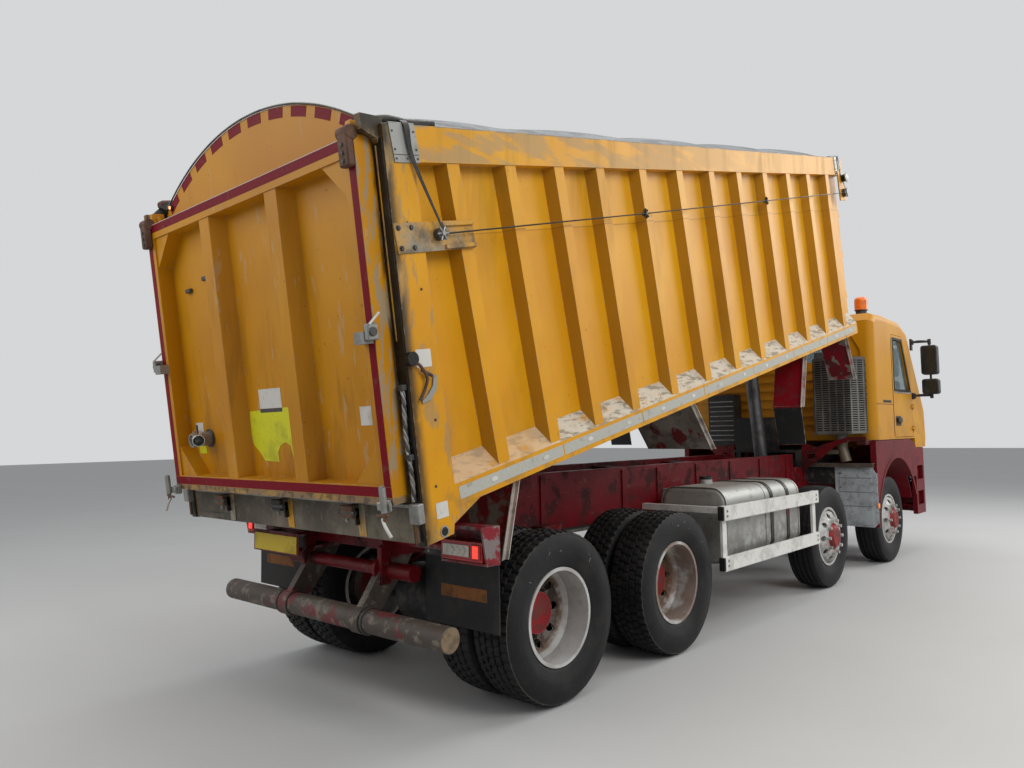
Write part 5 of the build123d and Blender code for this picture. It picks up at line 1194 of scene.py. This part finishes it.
def rear_end():
    """Number plate, lamps' lit windows, cross tubes and clamp rings of the rear end."""
    piece = Piece("rear_end", "chassis", "black_metal")
    # Blank number plate on its bracket
    piece.box((-0.906, -0.902), (0.30, 0.82), (0.872, 0.984), "plate", 0.001)
    piece.box((-0.901, -0.893), (0.28, 0.84), (0.862, 1.005), "red", 0.003)
    piece.box((-0.893, -0.74), (0.385, 0.415), (0.985, 1.0), "red", 0.003)
    piece.box((-0.893, -0.76), (0.70, 0.73), (0.985, 1.0), "red", 0.003)
    piece.box((-0.775, -0.755), (0.40, 0.90), (0.978, 1.03), "red", 0.003)
    # Red cross tubes with flanges between the hinge brackets
    piece.rod((-0.735, -0.38, 0.83), (-0.735, 0.38, 0.83), 0.040, "red", 24)
    bar_x, bar_z, bar_radius, wire_radius = -0.885, 0.556, 0.0705, 0.007
    around = [circle(wire_radius, math.tau * k / 8) for k in range(8)]
    wire = [(along, bar_radius + wire_radius * 0.6 + out) for along, out in around]
    lamp_x, flap_bar_x = -0.736, -0.628
    for piece.hand in (-1, 1):
        piece.rod((-0.735, 0.36, 0.83), (-0.735, 0.39, 0.83), 0.075, "red", 28)
        piece.rod((-0.70, 0.40, 0.82), (-0.70, 0.64, 0.82), 0.050, "red", 24)
        piece.box((-0.78, -0.70), (0.38, 0.42), (0.74, 0.97), "red", 0.004)
        # Clamp rings on the round bar
        for y in (0.34, 0.37, 0.41, 0.45):
            piece.turned(wire, (bar_x, y, bar_z), "dark_steel", 32)
        # End caps of the bar
        piece.rod((bar_x, 1.130, bar_z), (bar_x, 1.1325, bar_z), 0.066, "dusty_cap", 32)
        # Lamp: clear arrows, lit window and reflector
        piece.box((lamp_x - 0.004, lamp_x), (0.920, 1.125), (0.968, 1.030), "clear_lens")
        for k in range(3):
            tip = 0.985 + 0.045 * k
            chevron = [
                (tip, 0.974), (tip + 0.026, 0.999), (tip, 1.024),
                (tip + 0.012, 1.024), (tip + 0.038, 0.999), (tip + 0.012, 0.974),
            ]
            piece.slab(chevron, -0.002, "label", "yz", lamp_x - 0.004)
        piece.box((lamp_x - 0.006, lamp_x), (1.146, 1.212), (0.958, 1.038), "red_lens", 0.004)
        piece.box((lamp_x - 0.0075, lamp_x - 0.005), (1.158, 1.198), (0.966, 1.030), "lit_lens", 0.003)
        # A plain faded band across the mudflap
        piece.box((-0.6212, -0.620), (0.775, 1.145), (0.705, 0.775), "flap_band", 0.0004)
        piece.box((lamp_x - 0.001, lamp_x + 0.01), (0.905, 1.225), (0.945, 0.956), "red_lens")
        # Steel bar and bolts that hold the mudflap
        piece.box((flap_bar_x, -0.620), (0.64, 1.236), (0.93, 0.975), "dark_steel", 0.002)
        for k in range(5):
            piece.bolt((flap_bar_x, 0.68 + 0.13 * k, 0.952), (-1, 0, 0), "steel", 0.009)
    piece.done()


def tank_details():
    """Straps, filler cap and seams of the fuel tank, and the side guard's lips and fixings."""
    piece = Piece("tank_trim", "chassis", "tank_aluminium")
    centre_y, centre_z, flat_y, flat_z, corner = -0.855, 0.845, 0.170, 0.180, 0.130

    def section(proud):
        """The tank's rounded outline, standing proud of its skin."""
        outline = []
        for cy, cz, start in ((1, 1, 0), (-1, 1, 90), (-1, -1, 180), (1, -1, 270)):
            for k in range(9):
                y, z = circle(corner + proud, math.radians(start + 90 * k / 8))
                outline.append((centre_y + cy * flat_y + y, centre_z + cz * flat_z + z))
        return outline

    def ring(a0, a1, proud, material):
        """A band round the tank between two places along it."""
        outer, inner = section(proud), section(0.0005)
        count = len(outer)
        points = [piece.at((a, y, z)) for outline in (outer, inner) for a in (a0, a1) for y, z in outline]
        faces = []
        for k in range(count):
            n = (k + 1) % count
            faces.append((k, n, count + n, count + k))
            faces.append((2 * count + k, 3 * count + k, 3 * count + n, 2 * count + n))
            faces.append((k, 2 * count + k, 2 * count + n, n))
            faces.append((count + k, count + n, 3 * count + n, 3 * count + k))
        piece.add(points, faces, material)

    for a in (3.055, 3.405):
        ring(a - 0.030, a + 0.030, 0.006, "grease")
    piece.box((3.374, 3.436), (-1.1615, -1.160), (0.835, 0.905), "red", 0.0005)
    for a in (2.195, 3.655):
        ring(a - 0.012, a + 0.012, 0.004, "tank")
    ring(2.92, 2.93, 0.0015, "dark_steel")
    piece.rod((2.70, -0.70, 1.188), (2.70, -0.70, 1.215), 0.055, "plastic", 28)
    for k in range(6):
        x, y = circle(0.045, math.tau * k / 6)
        piece.box((2.692 + x, 2.708 + x), (y - 0.708, y - 0.692), (1.215, 1.222), "plastic")
    # Guard: black end caps, lips and slotted bolts
    for low, high in ((0.523, 0.627), (0.918, 1.027)):
        piece.box((1.948, 1.972), (-1.2495, -1.200), (low, high), "seal", 0.003)
    for z in (0.53, 0.62, 0.925, 1.02):
        piece.box((1.965, 3.925), (-1.2495, -1.248), (z - 0.004, z + 0.004), "white", 0.0005)
    for a in (2.02, 3.87):
        for z in (0.56, 0.60, 0.95, 0.99):
            piece.bolt((a, -1.248, z), (0, -1, 0), "steel", 0.009)
    piece.done()


def rounded(low, high, corner, steps=6):
    """A rounded rectangle's outline between two corners."""
    points = []
    for cx, cy, start in ((1, 1, 0), (0, 1, 90), (0, 0, 180), (1, 0, 270)):
        middle = (high[0] - corner if cx else low[0] + corner, high[1] - corner if cy else low[1] + corner)
        for k in range(steps + 1):
            angle = math.radians(start + 90 * k / steps)
            x, y = circle(corner, angle)
            points.append((middle[0] + x, middle[1] + y))
    return points


def door_trim():
    """Window seals, sill strip and handle recess of each door."""
    for side, hand in (("right", -1), ("left", 1)):
        piece = Piece(f"door_trim_{side}", f"{side}_door", "black_metal")
        piece.hand = hand
        face = 1.240
        outer = [(6.542, 2.083), (7.222, 2.083), (6.912, 2.755), (6.542, 2.755)]
        inner = [(6.566, 2.111), (7.186, 2.111), (6.894, 2.730), (6.566, 2.730)]
        piece.frame_plate(outer, inner, 0.006, "seal", "xz", face)
        # Broader black post in front of the window, and the sill's bright strip
        post = [(7.186, 2.111), (7.247, 2.083), (6.934, 2.762), (6.894, 2.730)]
        piece.slab(post, 0.005, "seal", "xz", face)
        piece.slab(oblong((6.55, 2.062), (7.25, 2.078)), 0.004, "chrome", "xz", face)
        # Handle recess around the handle
        recess = rounded((6.565, 1.655), (6.765, 1.775), 0.02)
        hollow = rounded((6.583, 1.673), (6.747, 1.757), 0.012)
        piece.frame_plate(recess, hollow, 0.005, "plastic", "xz", face)
        piece.slab(hollow, 0.002, "seal", "xz", face)
        piece.box((6.586, 6.744), (face, face + 0.0285), (1.697, 1.753), "plastic", 0.006)
        piece.done()


def cab_trim():
    """Seams, grooves, mirror glass and arms, markers, wipers, windscreen seal and headlamps of the cab."""
    piece = Piece("cab_trim", "chassis", "black_metal")
    for piece.hand in (-1, 1):
        face = 1.2405
        # Seam and air outlet behind the door
        piece.box((5.86, 6.49), (face, face + 0.0008), (1.912, 1.918), "seal")
        piece.box((6.10, 6.40), (face, face + 0.004), (1.935, 1.965), "plastic", 0.0015)
        for k in range(5):
            slot = (6.125 + 0.055 * k, 6.16 + 0.055 * k)
            piece.box(slot, (face + 0.004, face + 0.0055), (1.941, 1.959), "seal")
        piece.box((6.480, 6.494), (face, face + 0.0015), (1.53, 2.74), "seal", 0.0004)
        # Mirror glass, its rim, and thicker arms with their joints
        for low, high in ((2.310, 2.690), (2.055, 2.255)):
            rim = rounded((1.382, low + 0.022), (1.538, high - 0.022), 0.028)
            piece.slab(rim, -0.0015, "mirror_glass", "yz", 7.2900)
        for z in (2.040, 2.745):
            arm = [(7.33, 1.262, z), (7.345, 1.33, z + 0.012), (7.39, 1.41, z + 0.008), (7.40, 1.45, z)]
            piece.hose(arm, 0.013, "plastic")
            piece.rod((7.40, 1.45, z - 0.035), (7.40, 1.45, z + 0.035), 0.021, "plastic")
            piece.rod((7.33, 1.262, z - 0.03), (7.33, 1.262, z + 0.03), 0.020, "plastic")
        # Amber marker on the wing's rear post
        piece.rod((5.709, 1.2495, 0.737), (5.709, 1.262, 0.737), 0.030, "amber_lens", 24, 0.006)
        # Dark strips for the grooves in the cab's rear corner: painted shade in the grooves
        for z in (2.37, 2.28, 2.19, 2.11, 2.03):
            piece.box((5.8142, 5.8160), (1.075, 1.148), (z - 0.010, z + 0.010), "seal")
        # Bolts of the mud screen
        for z in (0.62, 0.78, 0.941, 1.102):
            piece.bolt((5.699, 0.842, z), (-1, 0, 0), "seal", 0.010)
    # Ribs of the dark unit behind the cab
    for k in range(9):
        piece.box((5.595, 5.6005), (0.44, 0.77), (1.50 + 0.062 * k, 1.512 + 0.062 * k), "steel", 0.002)
    # Windscreen seal and two wipers
    slope = math.atan2(0.870, -0.590)
    up_screen = Vector((math.cos(slope), 0, math.sin(slope)))
    out_screen = Vector((math.sin(slope), 0, -math.cos(slope)))
    piece.matrix = places(TRUCK @ Vector((7.790, 0, 2.010)) + up_screen * 0.530, out_screen, up_screen)
    seal_out = rounded((-1.118, -0.468), (1.118, 0.468), 0.105)
    seal_in = rounded((-1.088, -0.438), (1.088, 0.438), 0.08)
    piece.frame_plate(seal_out, seal_in, 0.006, "seal", "yz", 0.0)
    for start, end in (((0.75, -0.47), (0.05, -0.30)), ((-0.15, -0.47), (-0.85, -0.30))):
        piece.rod((0.012, start[0], start[1]), (0.014, end[0], end[1]), 0.007, "plastic", 10)
        blade = Vector((0.010, end[0], end[1]))
        piece.rod(blade - Vector((0, 0.33, -0.03)), blade + Vector((0, 0.33, -0.03)), 0.006, "seal", 8)
        piece.rod((-0.004, start[0], start[1]), (0.022, start[0], start[1]), 0.018, "plastic", 16)
    piece.matrix = TRUCK
    # Headlamps: a rim and two round lenses each
    for piece.hand in (-1, 1):
        frame_out = rounded((0.713, 0.893), (1.057, 1.097), 0.03)
        frame_in = rounded((0.727, 0.907), (1.043, 1.083), 0.022)
        piece.frame_plate(frame_out, frame_in, 0.006, "plastic", "yz", 7.820)
        for shift, r in ((-0.075, 0.062), (0.078, 0.056)):
            y = 0.885 + piece.hand * shift
            piece.rod((7.8205, y, 0.995), (7.826, y, 0.995), r, "chrome", 32, 0.002)
            piece.rod((7.826, y, 0.995), (7.829, y, 0.995), r * 0.84, "clear_lens", 32, 0.002)
    piece.done()


def wheel_marks():
    """A tan scuffed line round each outer rear tyre's shoulder, and a few white flecks."""
    section = [(0.1295, 0.5000), (0.1302, 0.5015), (0.1290, 0.5035), (0.1284, 0.5030)]
    wall_y = 0.1468  # the sidewall's fullest place, from the tyre's middle
    for side, hand in (("right", -1), ("left", 1)):
        for axle in (3, 4):
            hub = Vector((axle_x[axle], twin_outer_y, hub_z))
            name, body = f"tyre_marks_{axle}_{side}", f"wheels_{axle}_{side}"
            piece = Piece(name, body, "tyre_rubber", Matrix.Identity(4))
            piece.hand = hand
            piece.turned(section, hub, "scuff", 160)
            for k in range(5):
                angle = random.uniform(0.6, 2.5)
                x, z = circle(random.uniform(0.40, 0.45), angle)
                tilt = random.uniform(0, math.pi)
                shift_x, shift_z = circle(random.uniform(0.006, 0.016), tilt)
                place, shift = hub + Vector((x, wall_y, z)), Vector((shift_x, 0, shift_z))
                piece.rod(place - shift, place + shift, 0.0013, "steel", 6)
            piece.done()


make_camera()
make_stage()
dress_nodes()
for build in (
    body_details, gate_details, sheet_board_details, make_tyres, make_cover, gate_hardware, post_hardware,
    sheet_gear, rear_end, tank_details, door_trim, cab_trim, wheel_marks,
):
    build()
